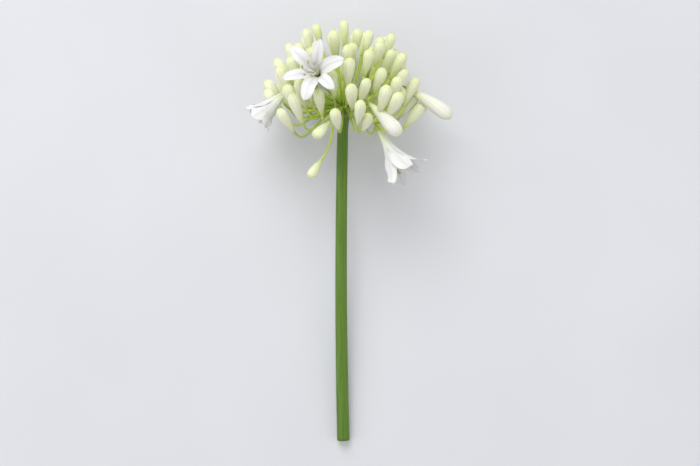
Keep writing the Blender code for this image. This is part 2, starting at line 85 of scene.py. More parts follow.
def unit(vectors):
    """The vectors, each divided by its own length."""
    return vectors / np.linalg.norm(vectors, axis=-1, keepdims=True)


def scape_line():
    """Points and directions along the scape's middle: the running sum of short steps."""
    share = np.linspace(0.0, 1.0, SCAPE_STEPS + 1)
    slope = SCAPE_SLOPE_CUT + (SCAPE_SLOPE_HUB - SCAPE_SLOPE_CUT) * share
    turn = SCAPE_SIDE_BEND * (share - 0.5)
    ways = np.stack([np.sin(turn) * np.cos(slope), np.cos(turn) * np.cos(slope), np.sin(slope)], 1)
    steps = (ways[1:] + ways[:-1]) / 2 * SCAPE_LENGTH / SCAPE_STEPS
    line = np.vstack([np.zeros(3), np.cumsum(steps, axis=0)])
    line += (0.0, 0.0, SCAPE_RADIUS_CUT * math.cos(SCAPE_SLOPE_CUT) - PRESSED)
    return line, ways


LINE, WAYS = scape_line()
ALONG = unit(WAYS[-1])
RIGHT = unit(np.cross(ALONG, (0.0, 0.0, 1.0)))
UP = np.cross(RIGHT, ALONG)
HEART = LINE[-1] + HUB_HEART * ALONG
print("hub is", round(HEART[2] * 1000, 1), "mm above the floor")

# %% [markdown]
# ## Where each floret sits
#
# An umbel is a ball of florets on stalks that all leave one spot. A plant sets new florets a golden
# angle apart, so that each fills the widest gap. They could be scattered at random, but the spiral
# gives the even crowd of a real head, and a seeded random share keeps it from looking counted out.
# The outer florets bend up, towards the light that the plant once stood in.
#
# Two large buds, two small odd ones and the open flowers are given one by one. Way and axis are
# degrees from the stem's line and round it. An open flower's row also has its turn about its axis,
# the length, angles, uneven opening, widths and ripple of its tepals, and the length, spread and
# droop of its threads.

# %% Florets on a golden spiral, and the ones given one by one
SEED = 41
BUD_COUNT = 80
WIDEST_POLAR = math.radians(112.0)
GOLDEN_ANGLE = math.pi * (3.0 - math.sqrt(5.0))
PEDICEL_LENGTHS = (0.038, 0.054)
PEDICEL_RADIUS_ROOT, PEDICEL_RADIUS_MID = 0.00120, 0.00090
PEDICEL_SUNK = 0.0035
LOWEST_START = math.cos(math.radians(93.0))
START_AWAY = 0.30
PEDICEL_HANDLES = (0.42, 0.40)
BUD_LENGTH, BUD_RADIUS = 0.0265, 0.0046
BUD_SIZE_INNER, BUD_SIZE_OUTER = 0.72, 1.04
BUD_SIZE_SPREAD = (0.90, 1.12)
BUD_SLIMMING = 0.7
UPRIGHT, UPRIGHT_SPREAD = 1.7, (0.6, 1.3)
WAY_JITTER, PULL_JITTER = 0.15, 0.10
ODD_BUDS = (
    {"way": (79, 57), "pedicel": 0.040, "axis": (130, 22), "length": 0.036, "radius": 0.0061},
    {"way": (74, 6), "pedicel": 0.057, "axis": (118, 8), "length": 0.041, "radius": 0.0059},
    {"way": (100, 104), "pedicel": 0.040, "axis": (128, 146), "length": 0.020, "radius": 0.0046},
    {"way": (143, 122), "pedicel": 0.050, "axis": (146, 165), "length": 0.019, "radius": 0.0040},
)
BLOOMS = {
    "star_bloom": {
        "way": (53, 121), "pedicel": 0.046, "axis": (70, 101), "roll": 20, "tepals": 0.043,
        "flare": (5, 12, 28, 66, 96), "uneven": (4, 40), "opens_by": 9.0,
        "widths": (0.0090, 0.0112), "ripple": 0.0009,
        "threads": (0.013, 0.015), "spread": 0.0048, "droop": (0.0022, 0),
    },
    "trumpet_bloom": {
        "way": (110, 44), "pedicel": 0.044, "axis": (144, 32), "roll": 10, "tepals": 0.048,
        "flare": (5, 12, 19, 25, 46), "uneven": (24, 262), "opens_by": 4.0,
        "widths": (0.0125, 0.0145), "ripple": 0.0012,
        "threads": (0.017, 0.019), "spread": 0.0026, "droop": (0.0054, 46),
    },
    "bell_bloom": {
        "way": (76, 166), "pedicel": 0.050, "axis": (134, 174), "roll": 25, "tepals": 0.035,
        "flare": (8, 16, 20, 18, 34), "uneven": (6, 150), "opens_by": 5.0,
        "widths": (0.0118, 0.0138), "ripple": 0.0012,
        "threads": (0.011, 0.013), "spread": 0.0034, "droop": (0.0015, 0),
    },
}
ORDER = (np.arange(BUD_COUNT) + 0.5) / BUD_COUNT


def from_angles(polar, azimuth):
    """Unit vectors at a polar angle from the scape's line and an azimuth round it, in radians."""
    polar, azimuth = polar[:, None], azimuth[:, None]
    round_it = np.cos(azimuth) * RIGHT + np.sin(azimuth) * UP
    return np.cos(polar) * ALONG + np.sin(polar) * round_it


def grow(florets):
    """Base point and axis of each floret, and the four corners of its stalk's Bezier curve.

    The stalk leaves the hub on the far side of its own way and then bends into its floret's axis.
    """
    ways, reach = florets["way"], florets["pedicel"][:, None]
    base = HEART + ways * reach
    axis = unit(ways + florets["pull"])
    aside = florets["pull"] - (florets["pull"] * ways).sum(axis=1)[:, None] * ways
    start = unit(ways - START_AWAY * aside)
    start = unit(start + np.clip(LOWEST_START - start @ ALONG, 0, None)[:, None] * ALONG)
    root = HEART + start * PEDICEL_SUNK
    out_of_hub = root + PEDICEL_HANDLES[0] * reach * start
    into_floret = base - PEDICEL_HANDLES[1] * reach * axis
    return base, axis, (root, out_of_hub, into_floret, base)


def first_florets():
    """Ways, pulls and sizes of the spiral's buds, then the odd buds, then the open flowers."""
    rng = np.random.default_rng(SEED)
    polar = np.arccos(1 - ORDER * (1 - math.cos(WIDEST_POLAR)))
    azimuth = np.arange(BUD_COUNT) * GOLDEN_ANGLE
    azimuth += rng.uniform(-WAY_JITTER, WAY_JITTER, BUD_COUNT)
    size = BUD_SIZE_INNER + (BUD_SIZE_OUTER - BUD_SIZE_INNER) * np.sqrt(ORDER)
    size *= rng.uniform(*BUD_SIZE_SPREAD, BUD_COUNT)
    pedicel = rng.uniform(*PEDICEL_LENGTHS, BUD_COUNT)
    upright = UPRIGHT * np.sin(polar) * rng.uniform(*UPRIGHT_SPREAD, BUD_COUNT)
    pull = upright[:, None] * ALONG + rng.normal(0.0, PULL_JITTER, (BUD_COUNT, 3))
    placed = [*ODD_BUDS, *BLOOMS.values()]
    way, axis = (from_angles(*np.radians([one[key] for one in placed]).T) for key in ("way", "axis"))
    lengths, radii = ([one.get(key, 0) for one in placed] for key in ("length", "radius"))
    return {
        "way": np.vstack([from_angles(polar, azimuth), way]),
        "pull": np.vstack([pull, axis - way]),
        "pedicel": np.append(pedicel, [one["pedicel"] for one in placed]),
        "length": np.append(BUD_LENGTH * size, lengths),
        "radius": np.append(BUD_RADIUS * size**BUD_SLIMMING, radii),
    }


print("florets:", len(first_florets()["length"]))

# %% [markdown]
# ## The flare of an open flower
#
# An agapanthus flower is a trumpet: a narrow tube that opens into six tepals. Seen from the side, a
# tepal's middle line leans out more and more towards the tip. Its angle is given at five places, and
# the line is what those angles add up to. The star is fully open, the trumpet half, and the bell has
# only just parted. Each opens further on one side, the trumpet most of all.

# %% Line of a tepal and place of each open flower
TUBE_RADIUS = 0.0017
TUBE_SHARE, THROAT_SHARE = 0.30, 0.44
FLARE_STEPS = 200


def opening(name, number):
    """How much further than the mean a tepal opens at its tip: a cosine round the flower."""
    more, side = np.radians(BLOOMS[name]["uneven"])
    return more * math.cos(number * math.pi / 3 - side)


def bloom_line(name, shares, more=0.0):
    """Distances from and along the flower's axis, and the angle to it, along a tepal's line.

    The angle is the flare's, plus more times the share squared. The distances are the running sums
    of its sine and its cosine.
    """
    fine = np.linspace(0.0, 1.0, FLARE_STEPS + 1)
    flare = BLOOMS[name]["flare"]
    angle = np.radians(np.interp(fine, np.linspace(0, 1, len(flare)), flare)) + more * fine**2
    between = (angle[1:] + angle[:-1]) / 2
    step = BLOOMS[name]["tepals"] / FLARE_STEPS
    out = TUBE_RADIUS + np.append(0.0, np.cumsum(np.sin(between))) * step
    along = np.append(0.0, np.cumsum(np.cos(between))) * step
    return tuple(np.interp(shares, fine, values) for values in (out, along, angle))


def on_tepal(number, out, side, along):
    """Points by a tepal's own directions, in the flower's axes: six of them stand round it."""
    turn = number * math.pi / 3
    x = out * math.cos(turn) - side * math.sin(turn)
    y = out * math.sin(turn) + side * math.cos(turn)
    return np.stack([x, y, along], axis=-1)


def bloom_frame(name):
    """Base point of the open flower, and a matrix whose columns are its two sides and its axis."""
    index = BUD_COUNT + len(ODD_BUDS) + list(BLOOMS).index(name)
    bases, axes, _ = grow(first_florets())
    base, axis = bases[index], axes[index]
    right = unit(np.cross(axis, ALONG))
    over = np.cross(axis, right)
    roll = math.radians(BLOOMS[name]["roll"])
    first = math.cos(roll) * right + math.sin(roll) * over
    return base, np.stack([first, np.cross(axis, first), axis], axis=1)


print("mouth of the trumpet:", round(bloom_line("trumpet_bloom", 1.0)[0] * 2000, 1), "mm wide")

# %% [markdown]
# ## Buds that make room for each other
#
# Crowded buds push each other aside, and the lowest rest on the table. A physics engine could find
# those places. A simpler way, with the plain model's own numbers, puts every bud where its plain
# solid is: each floret is a row of balls, and balls that overlap turn their florets about the hub, a
# little in each round.

# %% Turn the florets apart and rest them on the table
SINKS_IF_WITHIN, CLEARANCE = 0.0030, 0.0007
TURN_ROUNDS, SETTLE_ROUNDS = 300, 20
TURN_SHARE, HOME_SHARE, TURN_FROM_HUB = 0.30, 0.015, 0.016
PEDICEL_BALLS = np.array([0.45, 0.70, 0.92])
BUD_BALLS = np.array([0.30, 0.55, 0.78, 0.93])
BALL_PROFILE = ((0.0, 0.24), (0.28, 0.56), (0.56, 0.92), (0.77, 1.0), (0.92, 0.72), (1.0, 0.28))
TEPAL_BALLS = ((0.45, 0.70), (0.65, 1.0), (0.82, 1.0), (1.0, 0.70))
TUBE_BALLS = ((0.005, 0.0025), (0.012, 0.0040))
SCAPE_BALLS_TO = 0.070


def bezier(corners, share):
    """Points at the given shares of cubic Bezier curves: the four corners in the cubic weights."""
    t = share[:, None]
    weights = ((1 - t) ** 3, 3 * t * (1 - t) ** 2, 3 * t**2 * (1 - t), t**3)
    return sum(w * corner[:, None, :] for w, corner in zip(weights, corners))


def bud_samples(florets, count):
    """Balls that stand for the stalks and buds of the first count florets."""
    base, axis, corners = grow(florets)
    stalk = bezier(corners, PEDICEL_BALLS)
    bud = base[:, None, :] + axis[:, None, :] * BUD_BALLS[:, None] * florets["length"][:, None, None]
    points = np.concatenate([stalk, bud], axis=1)[:count]
    stalk_radii = np.full((count, len(PEDICEL_BALLS)), PEDICEL_RADIUS_ROOT)
    fill = np.interp(BUD_BALLS, *np.array(BALL_PROFILE).T)
    radii = np.concatenate([stalk_radii, fill * florets["radius"][:count, None]], axis=1)
    return points, radii


def solid_samples():
    """Balls for the open flowers, with a share of the tepals' half width, and for the scape."""
    share, width_shares = np.array(TEPAL_BALLS).T
    reach, tube_radii = np.array(TUBE_BALLS).T
    points, radii = [], []
    for name in BLOOMS:
        base, sides = bloom_frame(name)
        for number in range(6):
            out, along, _ = bloom_line(name, share, opening(name, number))
            points.append(base + on_tepal(number, out, 0.0, along) @ sides.T)
            radii.append(width_shares * sum(BLOOMS[name]["widths"]) / 4)
        points.append(base + np.outer(reach, sides[:, 2]))
        radii.append(tube_radii)
    below = np.arange(HUB_RADIUS, SCAPE_BALLS_TO, SCAPE_RADIUS_TOP / 2)
    points.append(LINE[-1] - np.outer(below, ALONG))
    radii.append(np.full(len(below), SCAPE_RADIUS_CUT + CLEARANCE))
    return np.vstack(points), np.concatenate(radii)


def turn_apart(florets, home, solid_points, solid_radii):
    """Turns every bud about the hub by its push, over its distance from it, plus a pull home."""
    placed = BUD_COUNT + len(ODD_BUDS)
    points, radii = bud_samples(florets, placed)
    owner = np.repeat(np.arange(placed), points.shape[1])
    flat, size = points.reshape(-1, 3), radii.reshape(-1)
    away = flat[:, None, :] - np.vstack([flat, solid_points])
    distance = np.linalg.norm(away, axis=2) + 1e-9
    depth = size[:, None] + np.concatenate([size, solid_radii]) + CLEARANCE - distance
    itself = owner[:, None] == np.append(owner, np.full(len(solid_radii), -1))
    depth = np.where(itself, 0.0, np.clip(depth, 0.0, None))
    push = (away / distance[:, :, None] * depth[:, :, None]).sum(axis=1)
    lever = np.linalg.norm(flat - HEART, axis=1)
    turn = np.where(lever > TURN_FROM_HUB, 1.0 / lever, 0.0)[:, None] * push
    turn = turn.reshape(placed, -1, 3).sum(axis=1)[:BUD_COUNT]
    ways = florets["way"][:BUD_COUNT]
    back = home[:BUD_COUNT] - ways
    florets["way"][:BUD_COUNT] = unit(ways + TURN_SHARE * turn + HOME_SHARE * back)


def press_on_table(florets, within):
    """Turns each bud that reaches the table, or nearly does, to where it is just pressed."""
    rows = np.arange(BUD_COUNT)
    points, radii = bud_samples(florets, BUD_COUNT)
    depth = radii - PRESSED - points[:, :, 2]
    lowest = depth.argmax(axis=1)
    lever = np.linalg.norm(points[rows, lowest] - HEART, axis=1)
    near = depth[rows, lowest] > -within
    florets["way"][rows, 2] += np.where(near, depth[rows, lowest] / lever, 0.0)
    florets["way"] = unit(florets["way"])


def lay_out():
    """The florets with the buds moved apart, the lowest of them resting on the table."""
    florets = first_florets()
    home = florets["way"].copy()
    solids = solid_samples()
    for step in range(TURN_ROUNDS):
        turn_apart(florets, home, *solids)
        press_on_table(florets, SINKS_IF_WITHIN if step > TURN_ROUNDS / 4 else 0.0)
    for _ in range(SETTLE_ROUNDS):
        press_on_table(florets, SINKS_IF_WITHIN / 2)
    return florets


FLORETS = lay_out()
print("lowest stalk base:", round(grow(FLORETS)[0][:, 2].min() * 1000, 1), "mm above the table")

# %% [markdown]
# ## From the plant's frame to the model's
#
# So far the cut end of the stem is the origin, while the plain model's is the middle of its outline.
# The move is read off the plain stem: the middle of its topmost ring is known in both frames.

# %% Move into the model's frame
TOP_RING_SIDES = 12
scape_points = np.array([vertex.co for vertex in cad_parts["scape"].data.vertices])
scape_points = np.unique(scape_points.round(6), axis=0)
highest = np.argsort((scape_points - scape_points.mean(axis=0)) @ ALONG)[-TOP_RING_SIDES:]
SHIFT = scape_points[highest].mean(axis=0) - (LINE[-1] - NODE_GAP * ALONG)
SHIFT[2] = 0.0
print("moved by", (SHIFT * 1000).round(2), "mm")

# %% [markdown]
# ## One way to skin every piece
#
# Stems, buds, tepals and anthers are all closed tubes of some kind: rings of points, one after the
# other. Blender's curves could sweep them, but a curve has one cross-section for its whole length. So
# the rings are worked out as arrays, for all copies of a piece at once, and one function joins them.
# What would reach through the table is pressed flat on it. How far round and how far along each
# point is becomes a UV map, because veins and colours follow the piece and not the room.

# %% Rings to a closed mesh
ROUND = 2 * math.pi
STEEP = 0.8


def linked(name, data):
    """An object with this data, in the scene."""
    thing = bpy.data.objects.new(name, data)
    bpy.context.scene.collection.objects.link(thing)
    return thing


def angles(count):
    """Evenly spread angles round a full circle."""
    return np.arange(count) * ROUND / count


def crowded(count, power):
    """Shares from 0 to 1 that lie closer together towards 1."""
    return 1 - (1 - np.linspace(0.0, 1.0, count)) ** power


def ramp(values, start, end):
    """0 up to the start, 1 from the end on, and evenly from one to the other between them."""
    return np.clip((values - start) / (end - start), 0.0, 1.0)


def skin(name, rings, material, node, along=None, marks=None):
    """A smooth closed surface through rings of points, which stands for a node of the plain model.

    The axes of rings are the copy, the place along it, the place round it, and x, y, z. Quads join
    each ring to the next, and a fan closes each end on the middle of its ring. U is the share round
    the ring and V the value of along. marks holds further numbers for each point by name.
    """
    copies, places, sides, _ = rings.shape
    rings = np.maximum(rings, (-np.inf, -np.inf, 0.0))
    each = places * sides + 2
    ends = rings[:, [0, -1]].mean(axis=2)
    points = np.concatenate([rings.reshape(copies, -1, 3), ends], axis=1) + SHIFT
    step_u, step_v = np.array([(0, 1, 1, 0), (0, 0, 1, 1)])
    ring, spot = (a.reshape(-1, 1) for a in np.mgrid[: places - 1, :sides])
    quads = (ring + step_v) * sides + (spot + step_u) % sides
    rim = np.arange(sides)[:, None]
    after, last = (rim + 1) % sides, (places - 1) * sides
    middle = np.full_like(rim, each - 2)
    end_fan = np.hstack([middle + 1, last + rim, last + after])
    fans = np.vstack([np.hstack([middle, after, rim]), end_fan])
    starts = np.arange(copies)[:, None, None] * each
    faces = (starts + quads).reshape(-1, 4).tolist() + (starts + fans).reshape(-1, 3).tolist()
    mesh = bpy.data.meshes.new(name)
    mesh.from_pydata(points.reshape(-1, 3), [], faces)

    v = np.linspace(0.0, 1.0, places) if along is None else along
    quad_uv = np.stack([(spot + step_u) / sides, v[ring + step_v]], axis=-1)
    fan_u = np.vstack([rim + (0.5, 1, 0), rim + (0.5, 0, 1)]) / sides
    fan_v = np.repeat([v[0], v[-1]], 3 * sides).reshape(-1, 3)
    both = (quad_uv, np.stack([fan_u, fan_v], axis=-1))
    uv = np.concatenate([np.tile(part.ravel(), copies) for part in both])
    mesh.uv_layers.new(name="skin").data.foreach_set("uv", uv)
    for mark, values in (marks or {}).items():
        values = np.broadcast_to(values, rings.shape[:3])
        flat = np.concatenate([values.reshape(copies, -1), values[:, [0, -1]].mean(axis=2)], axis=1)
        mesh.attributes.new(mark, "FLOAT", "POINT").data.foreach_set("value", flat.ravel())

    mesh.shade_smooth()
    mesh.materials.append(material)
    piece = linked(name, mesh)
    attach(piece, "root")
    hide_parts(node)
    triangles = 2 * len(quads) * copies + len(fans) * copies
    print(f"{name}: {copies} of them, {triangles} triangles")


def turned(first, ways, angle):
    """First directions turned about the ways: by cosine their own, by sine the cross product's."""
    return np.cos(angle) * first[:, :, None] + np.sin(angle) * np.cross(ways, first)[:, :, None]


def rings_round(lines, radii, sides):
    """Rings round lines; the first direction is carried along, so that the tube doesn't twist."""
    ways = unit(np.gradient(lines, axis=1))
    first = np.empty_like(ways)
    carried = np.where(np.abs(ways[:, 0, 2:]) > STEEP, (1.0, 0.0, 0.0), (0.0, 0.0, 1.0))
    for place in range(lines.shape[1]):
        way = ways[:, place]
        carried = unit(carried - (carried * way).sum(axis=1, keepdims=True) * way)
        first[:, place] = carried
    return lines[:, :, None] + radii[..., None] * turned(first, ways, angles(sides)[:, None])


def through(knots, values, at):
    """A smooth curve through the values: between two knots, the cubic with the chords' slopes."""
    slope = np.gradient(values, knots, axis=0)
    left = np.clip(np.searchsorted(knots, at, side="right") - 1, 0, len(knots) - 2)
    width = knots[left + 1] - knots[left]
    t = (at - knots[left]) / width
    if values.ndim > 1:
        t, width = t[:, None], width[:, None]
    rise = values[left + 1] - values[left]
    bend = slope[left] * width * t * (1 - t) ** 2 - slope[left + 1] * width * t**2 * (1 - t)
    return values[left] + rise * t**2 * (3 - 2 * t) + bend


print("first of twelve angles round a ring:", angles(12)[:3].round(3))

# %% [markdown]
# ## Colours, nodes, and what the finishes share
#
# Colours are written as they look on a screen, as hex values, and one function turns them into the
# linear numbers that the renderer works with. Plant skins are built alike, so most finishes share
# their steps: fibres are a noise stretched along the piece, and each further colour is laid over the
# last where a pattern is strong. A pattern's scale is one over the metres from grain to grain.

# %% Helpers for finishes
RGBA_A, RGBA_B, RGBA_OUT = 6, 7, 2
NOISE_SPAN = (0.3, 0.7)
USUAL_REACH = (1.0, 0.2, 0.1)


def linear(colour):
    """An sRGB hex colour as linear RGBA, by the standard's curve."""
    parts = np.array([int(colour[i : i + 2], 16) for i in (1, 3, 5)]) / 255
    low = parts <= 0.04045
    return (*np.where(low, parts / 12.92, ((parts + 0.055) / 1.055) ** 2.4), 1.0)


def add(tree, kind, inputs=None, out=0, **settings):
    """Adds a node with its inputs as values or links, and its settings, and gives one output."""
    node = tree.nodes.new("ShaderNode" + kind)
    for name, value in settings.items():
        setattr(node, name, value)
    for key, value in (inputs or {}).items():
        if isinstance(value, bpy.types.NodeSocket):
            tree.links.new(value, node.inputs[key])
        else:
            node.inputs[key].default_value = value
    return node.outputs[out]


def shades(tree, by, *stops):
    """A colour for each number, mixed from stops of a number and a colour."""
    colour = add(tree, "ValToRGB", {0: by})
    elements = colour.node.color_ramp.elements
    for index, (place, shade) in enumerate(stops):
        stop = elements[index] if index < 2 else elements.new(place)
        stop.position, stop.color = place, linear(shade)
    return colour


def marked(tree, name):
    """A number that the mesh carries for each point."""
    return add(tree, "Attribute", out="Fac", attribute_name=name)


def grainy(tree, kind, scale, **inputs):
    """A pattern that is as fine in every direction."""
    where = add(tree, "TexCoord", out="Object")
    return add(tree, kind, {0: where, "Scale": scale, **inputs})


def finish(name, build):
    """A material of that name; the function build adds its nodes and gives the shader's inputs."""
    material = bpy.data.materials.new(name)
    material.use_nodes = True
    tree = material.node_tree
    tree.nodes.clear()
    shader = add(tree, "BsdfPrincipled", build(tree))
    tree.links.new(shader, tree.nodes.new("ShaderNodeOutputMaterial").inputs["Surface"])
    print("finish:", name)
    return material


def skin_places(tree):
    """The piece's own UV map, and its V, which is how far along the piece a point is."""
    uv = add(tree, "UVMap", uv_map="skin")
    return uv, add(tree, "SeparateXYZ", {0: uv}, out="Y")


def fibres(tree, uv, scale, **inputs):
    """A noise stretched along the piece; the scale is how often it varies round and along it."""
    stretched = add(tree, "Mapping", {0: uv, "Scale": (*scale, 1.0)})
    return add(tree, "TexNoise", {0: stretched, "Scale": 1.0, **inputs})


def spread_out(tree, *numbers):
    """Maps the first number from the span of the next two to the span of the last two."""
    return add(tree, "MapRange", dict(enumerate(numbers)))


def lay_over(tree, under, pattern, colour, window=(0.0, 1.0), most=1.0):
    """Mixes a colour over another, from none where the window starts to the most where it ends."""
    share = spread_out(tree, pattern, *window, 0.0, most)
    over = linear(colour) if isinstance(colour, str) else colour
    return add(tree, "Mix", {0: share, RGBA_A: under, RGBA_B: over}, RGBA_OUT, data_type="RGBA")


def grain(tree, pattern, roughness=None, bump=None):
    """Inputs that follow a pattern: a span of roughness, and a bump's strength and depth."""
    inputs = {}
    if roughness:
        inputs["Roughness"] = spread_out(tree, pattern, *NOISE_SPAN, *roughness)
    if bump:
        bumps = {"Strength": bump[0], "Distance": bump[1], "Height": pattern}
        inputs["Normal"] = add(tree, "Bump", bumps)
    return inputs


def inner_light(weight, radius, depth):
    """Inputs for light inside the tissue: its share, and how deep red, green and blue go."""
    return {"Subsurface Weight": weight, "Subsurface Radius": radius, "Subsurface Scale": depth}


print("white petal in linear light:", [round(c, 3) for c in linear("#f4f4f2")[:3]])

# %% [markdown]
# ## Stem: a grown green skin with a thin wax bloom
#
# The scape is a fleshy tube with a smooth waxy skin, streaked paler and darker green where bundles
# of fibres run just under it. A stretched noise along the tube draws them. At the top a pinkish brown
# ring is left where the leaf that once wrapped the buds fell off. The wax gives a wide, weak
# highlight: roughness near 0.4 with a plant cuticle's IOR of about 1.45.

# %% Finish of the stem
def stem_skin(tree):
    """Green by height, streaked by long fibres, speckled every 0.7 mm, scarred at the top."""
    uv, along = skin_places(tree)
    green = shades(
        tree, along, (0.0, "#4d6f1c"), (0.45, "#557723"), (0.80, "#547421"), (0.93, "#4b6b20"),
        (1.0, "#687d32"),
    )
    streaks = fibres(tree, uv, (34.0, 6.0), Detail=3.0, Roughness=0.6)
    streaked = lay_over(tree, green, streaks, "#70923a", (0.36, 0.66), 0.75)
    specks = grainy(tree, "TexNoise", 1400.0, Detail=2.0)
    speckled = lay_over(tree, streaked, specks, "#43601f", (0.60, 0.75), 0.45)
    patches = grainy(tree, "TexNoise", 600.0, Detail=3.0)
    scar = add(tree, "Math", {0: marked(tree, "scar"), 1: patches}, operation="MULTIPLY")
    return {
        "Base Color": lay_over(tree, speckled, scar, "#a88a6a", (0.15, 0.45), 0.9),
        "IOR": 1.45,
        "Specular IOR Level": 0.38,
        **grain(tree, streaks, (0.36, 0.50), (0.35, 0.0003)),
        **inner_light(0.10, (0.5, 1.0, 0.2), 0.0015),
    }


STEM_SKIN = finish("grown_waxy_stem_skin", stem_skin)

# %% [markdown]
# ## Stem: its form
#
# The plain stem is a twelve-sided tube. This one runs on the same line with the same radius, but a
# sum of cosines round the ring gives it five broad flats, eight shallower ones and a fine ribbing.
# The last 18 mm swell to carry the head, and a low ridge stands where the leaf fell off.

# %% Tube of the stem
SCAPE_PLACES, SCAPE_SIDES = 190, 72
CLOSER_TO_TOP = 1.35
FLARE = ((0.018, 0.0), (0.009, 0.35), (0.0027, 0.9), (0.0, 1.0))
SHAFT_END, SHAFT_KNOTS = 0.022, 8
SCAR_BELOW, SCAR_HALF_WIDTH, SCAR_HEIGHT = 0.0034, 0.0011, 0.00030
SCAR_EDGE = ((3, 0.0005, 1.0), (7, 0.0003, 0.0))
FLATS = ((5, 0.014, 0.4), (8, 0.008, 1.9), (23, 0.0035, 0.0))
SCAPE_AROUND = angles(SCAPE_SIDES)


def waves(terms):
    """A sum of cosines round the stem; each term has its number of waves, height and start."""
    return sum(height * np.cos(count * SCAPE_AROUND + start) for count, height, start in terms)


def scape_radii(below):
    """Radius at distances below the stem's top: an even taper, then the flare's swelling."""
    shaft = np.linspace(SCAPE_LENGTH, SHAFT_END, SHAFT_KNOTS)
    tapered = SCAPE_RADIUS_CUT + (SCAPE_RADIUS_TOP - SCAPE_RADIUS_CUT) * (1 - shaft / SCAPE_LENGTH)
    far, swelled = np.array(FLARE).T
    flared = SCAPE_RADIUS_TOP + (HUB_RADIUS - SCAPE_RADIUS_TOP) * swelled
    return through(-np.append(shaft, far), np.append(tapered, flared), -below)


def make_scape():
    """The stem: line, taper and flare of the plain one, with flats and the scar's ridge."""
    share = crowded(SCAPE_PLACES, CLOSER_TO_TOP)
    line = through(np.linspace(0, 1, len(LINE)), LINE, share)
    below = (1 - share) * SCAPE_LENGTH
    off_scar = (below[:, None] - SCAR_BELOW - waves(SCAR_EDGE)) / SCAR_HALF_WIDTH
    scar = np.exp(-(off_scar**2))
    radii = scape_radii(below)[:, None] * (1 + waves(FLATS)) + SCAR_HEIGHT * scar
    rings = rings_round(line[None], radii[None], SCAPE_SIDES)
    skin("scape_skin", rings, STEM_SKIN, "scape", share, {"scar": scar[None]})


make_scape()

# %% [markdown]
# ## The cut end
#
# A knife left a clean cut: pale wet pith inside a thin green rind, a little sunken where it dried. It
# could be painted on the tube's end, but a small plug of its own can be hollow, and its colour can
# follow the distance from the middle.

# %% Cut face with pith and rind
CUT_SHARES = np.array([0.985, 0.985, 0.95, 0.80, 0.60, 0.40, 0.20, 0.06])
CUT_DEPTHS = np.array([20.0, -3.0, -4.5, -3.6, -2.4, -1.7, -1.3, -1.2]) * 1e-4
JUST_ABOVE_FLOOR = 0.00002


def cut_pith(tree):
    """Pale green pith, greener at the rind, dotted with the ends of fibre bundles 0.9 mm apart."""
    _, inwards = skin_places(tree)
    flesh = shades(
        tree, inwards, (0.0, "#6f9a3e"), (0.25, "#86ab52"), (0.42, "#c3d49a"), (1.0, "#dfe6c4")
    )
    bundles = grainy(tree, "TexVoronoi", 1100.0)
    return {
        "Base Color": lay_over(tree, flesh, bundles, "#9fb86a", (0.30, 0.14), 0.6),
        "Roughness": 0.35,
        **grain(tree, bundles, bump=(0.5, 0.0002)),
        **inner_light(0.2, USUAL_REACH, 0.001),
    }


def make_cut_face():
    """A plug in the stem's end: rings of shrinking radius, first deep inside, then on its face."""
    line = LINE[0] + np.outer(CUT_DEPTHS, WAYS[0])
    sideways = unit(np.cross(WAYS[0], (0.0, 0.0, 1.0)))
    upwards = np.cross(sideways, WAYS[0])
    radii = CUT_SHARES[:, None] * SCAPE_RADIUS_CUT * (1 + waves(FLATS))
    turning = np.cos(SCAPE_AROUND)[:, None] * upwards - np.sin(SCAPE_AROUND)[:, None] * sideways
    rings = line[:, None] + radii[..., None] * turning[None, ::-1]
    rings[..., 2] = np.maximum(rings[..., 2], JUST_ABOVE_FLOOR)
    inwards = np.linspace(0.0, 1.0, len(CUT_SHARES))
    skin("cut_face", rings[None], finish("knife_cut_stem_pith", cut_pith), "scape", inwards)


make_cut_face()

# %% [markdown]
# ## The hub
#
# All stalks leave a small green dome, the receptacle. It is mostly hidden, so a turned shape does:
# the plain dome's profile, with low knobs of crossed cosines where stalks root.

# %% Dome of the hub
HUB_DOME = ((-0.10, 0.93), (0.0, 0.95), (0.30, 1.02), (0.65, 0.96), (0.95, 0.68), (1.10, 0.25))
HUB_PLACES, HUB_SIDES = 26, 60
KNOB_HEIGHT, KNOBS_ROUND, KNOBS_UP, KNOB_SLANT = 0.035, 9, 7, 4
HUB_SCAR, GREEN_AT_HUB = 0.18, 0.95


def make_hub():
    """The receptacle: radius by height as in the plain dome, times one plus crossed cosines."""
    knots, widths = np.array(HUB_DOME).T
    height = np.linspace(knots[0], knots[-1], HUB_PLACES)
    up = height[:, None]
    knobs = np.cos(KNOBS_ROUND * angles(HUB_SIDES) + KNOB_SLANT * up) * np.cos(KNOBS_UP * up)
    radii = through(knots, widths, height)[:, None] * HUB_RADIUS * (1 + KNOB_HEIGHT * knobs)
    line = LINE[-1] + np.outer(height * HUB_RADIUS, ALONG)
    rings = rings_round(line[None], radii[None], HUB_SIDES)
    scar = np.exp(-((height / HUB_SCAR) ** 2))[None, :, None]
    green = np.full(HUB_PLACES, GREEN_AT_HUB)
    skin("hub", rings, STEM_SKIN, "umbel", green, {"scar": scar})


make_hub()

# %% [markdown]
# ## Flower stalks: thin, lime green, a little see-through
#
# A pedicel is two millimetres thick and lets light through, so it looks lime where the stem looks
# green. Each follows its curve in the plain model, drawn with more points, with a slight waver, a
# thicker foot at the hub, and a swelling where it takes up its bud or flower.

# %% Stalks
PEDICEL_PLACES, PEDICEL_SIDES = 26, 14
WAVER, WAVES = 0.00035, (0.7, 1.3)
INTO_BUD, FITS_BUD, FITS_TUBE = 0.0010, 0.255, 0.97
FOOT_SHARE, SWELLS_FROM, LAST_RING = 0.12, 0.84, 0.6
THICKNESS_SPREAD = (0.94, 1.07)


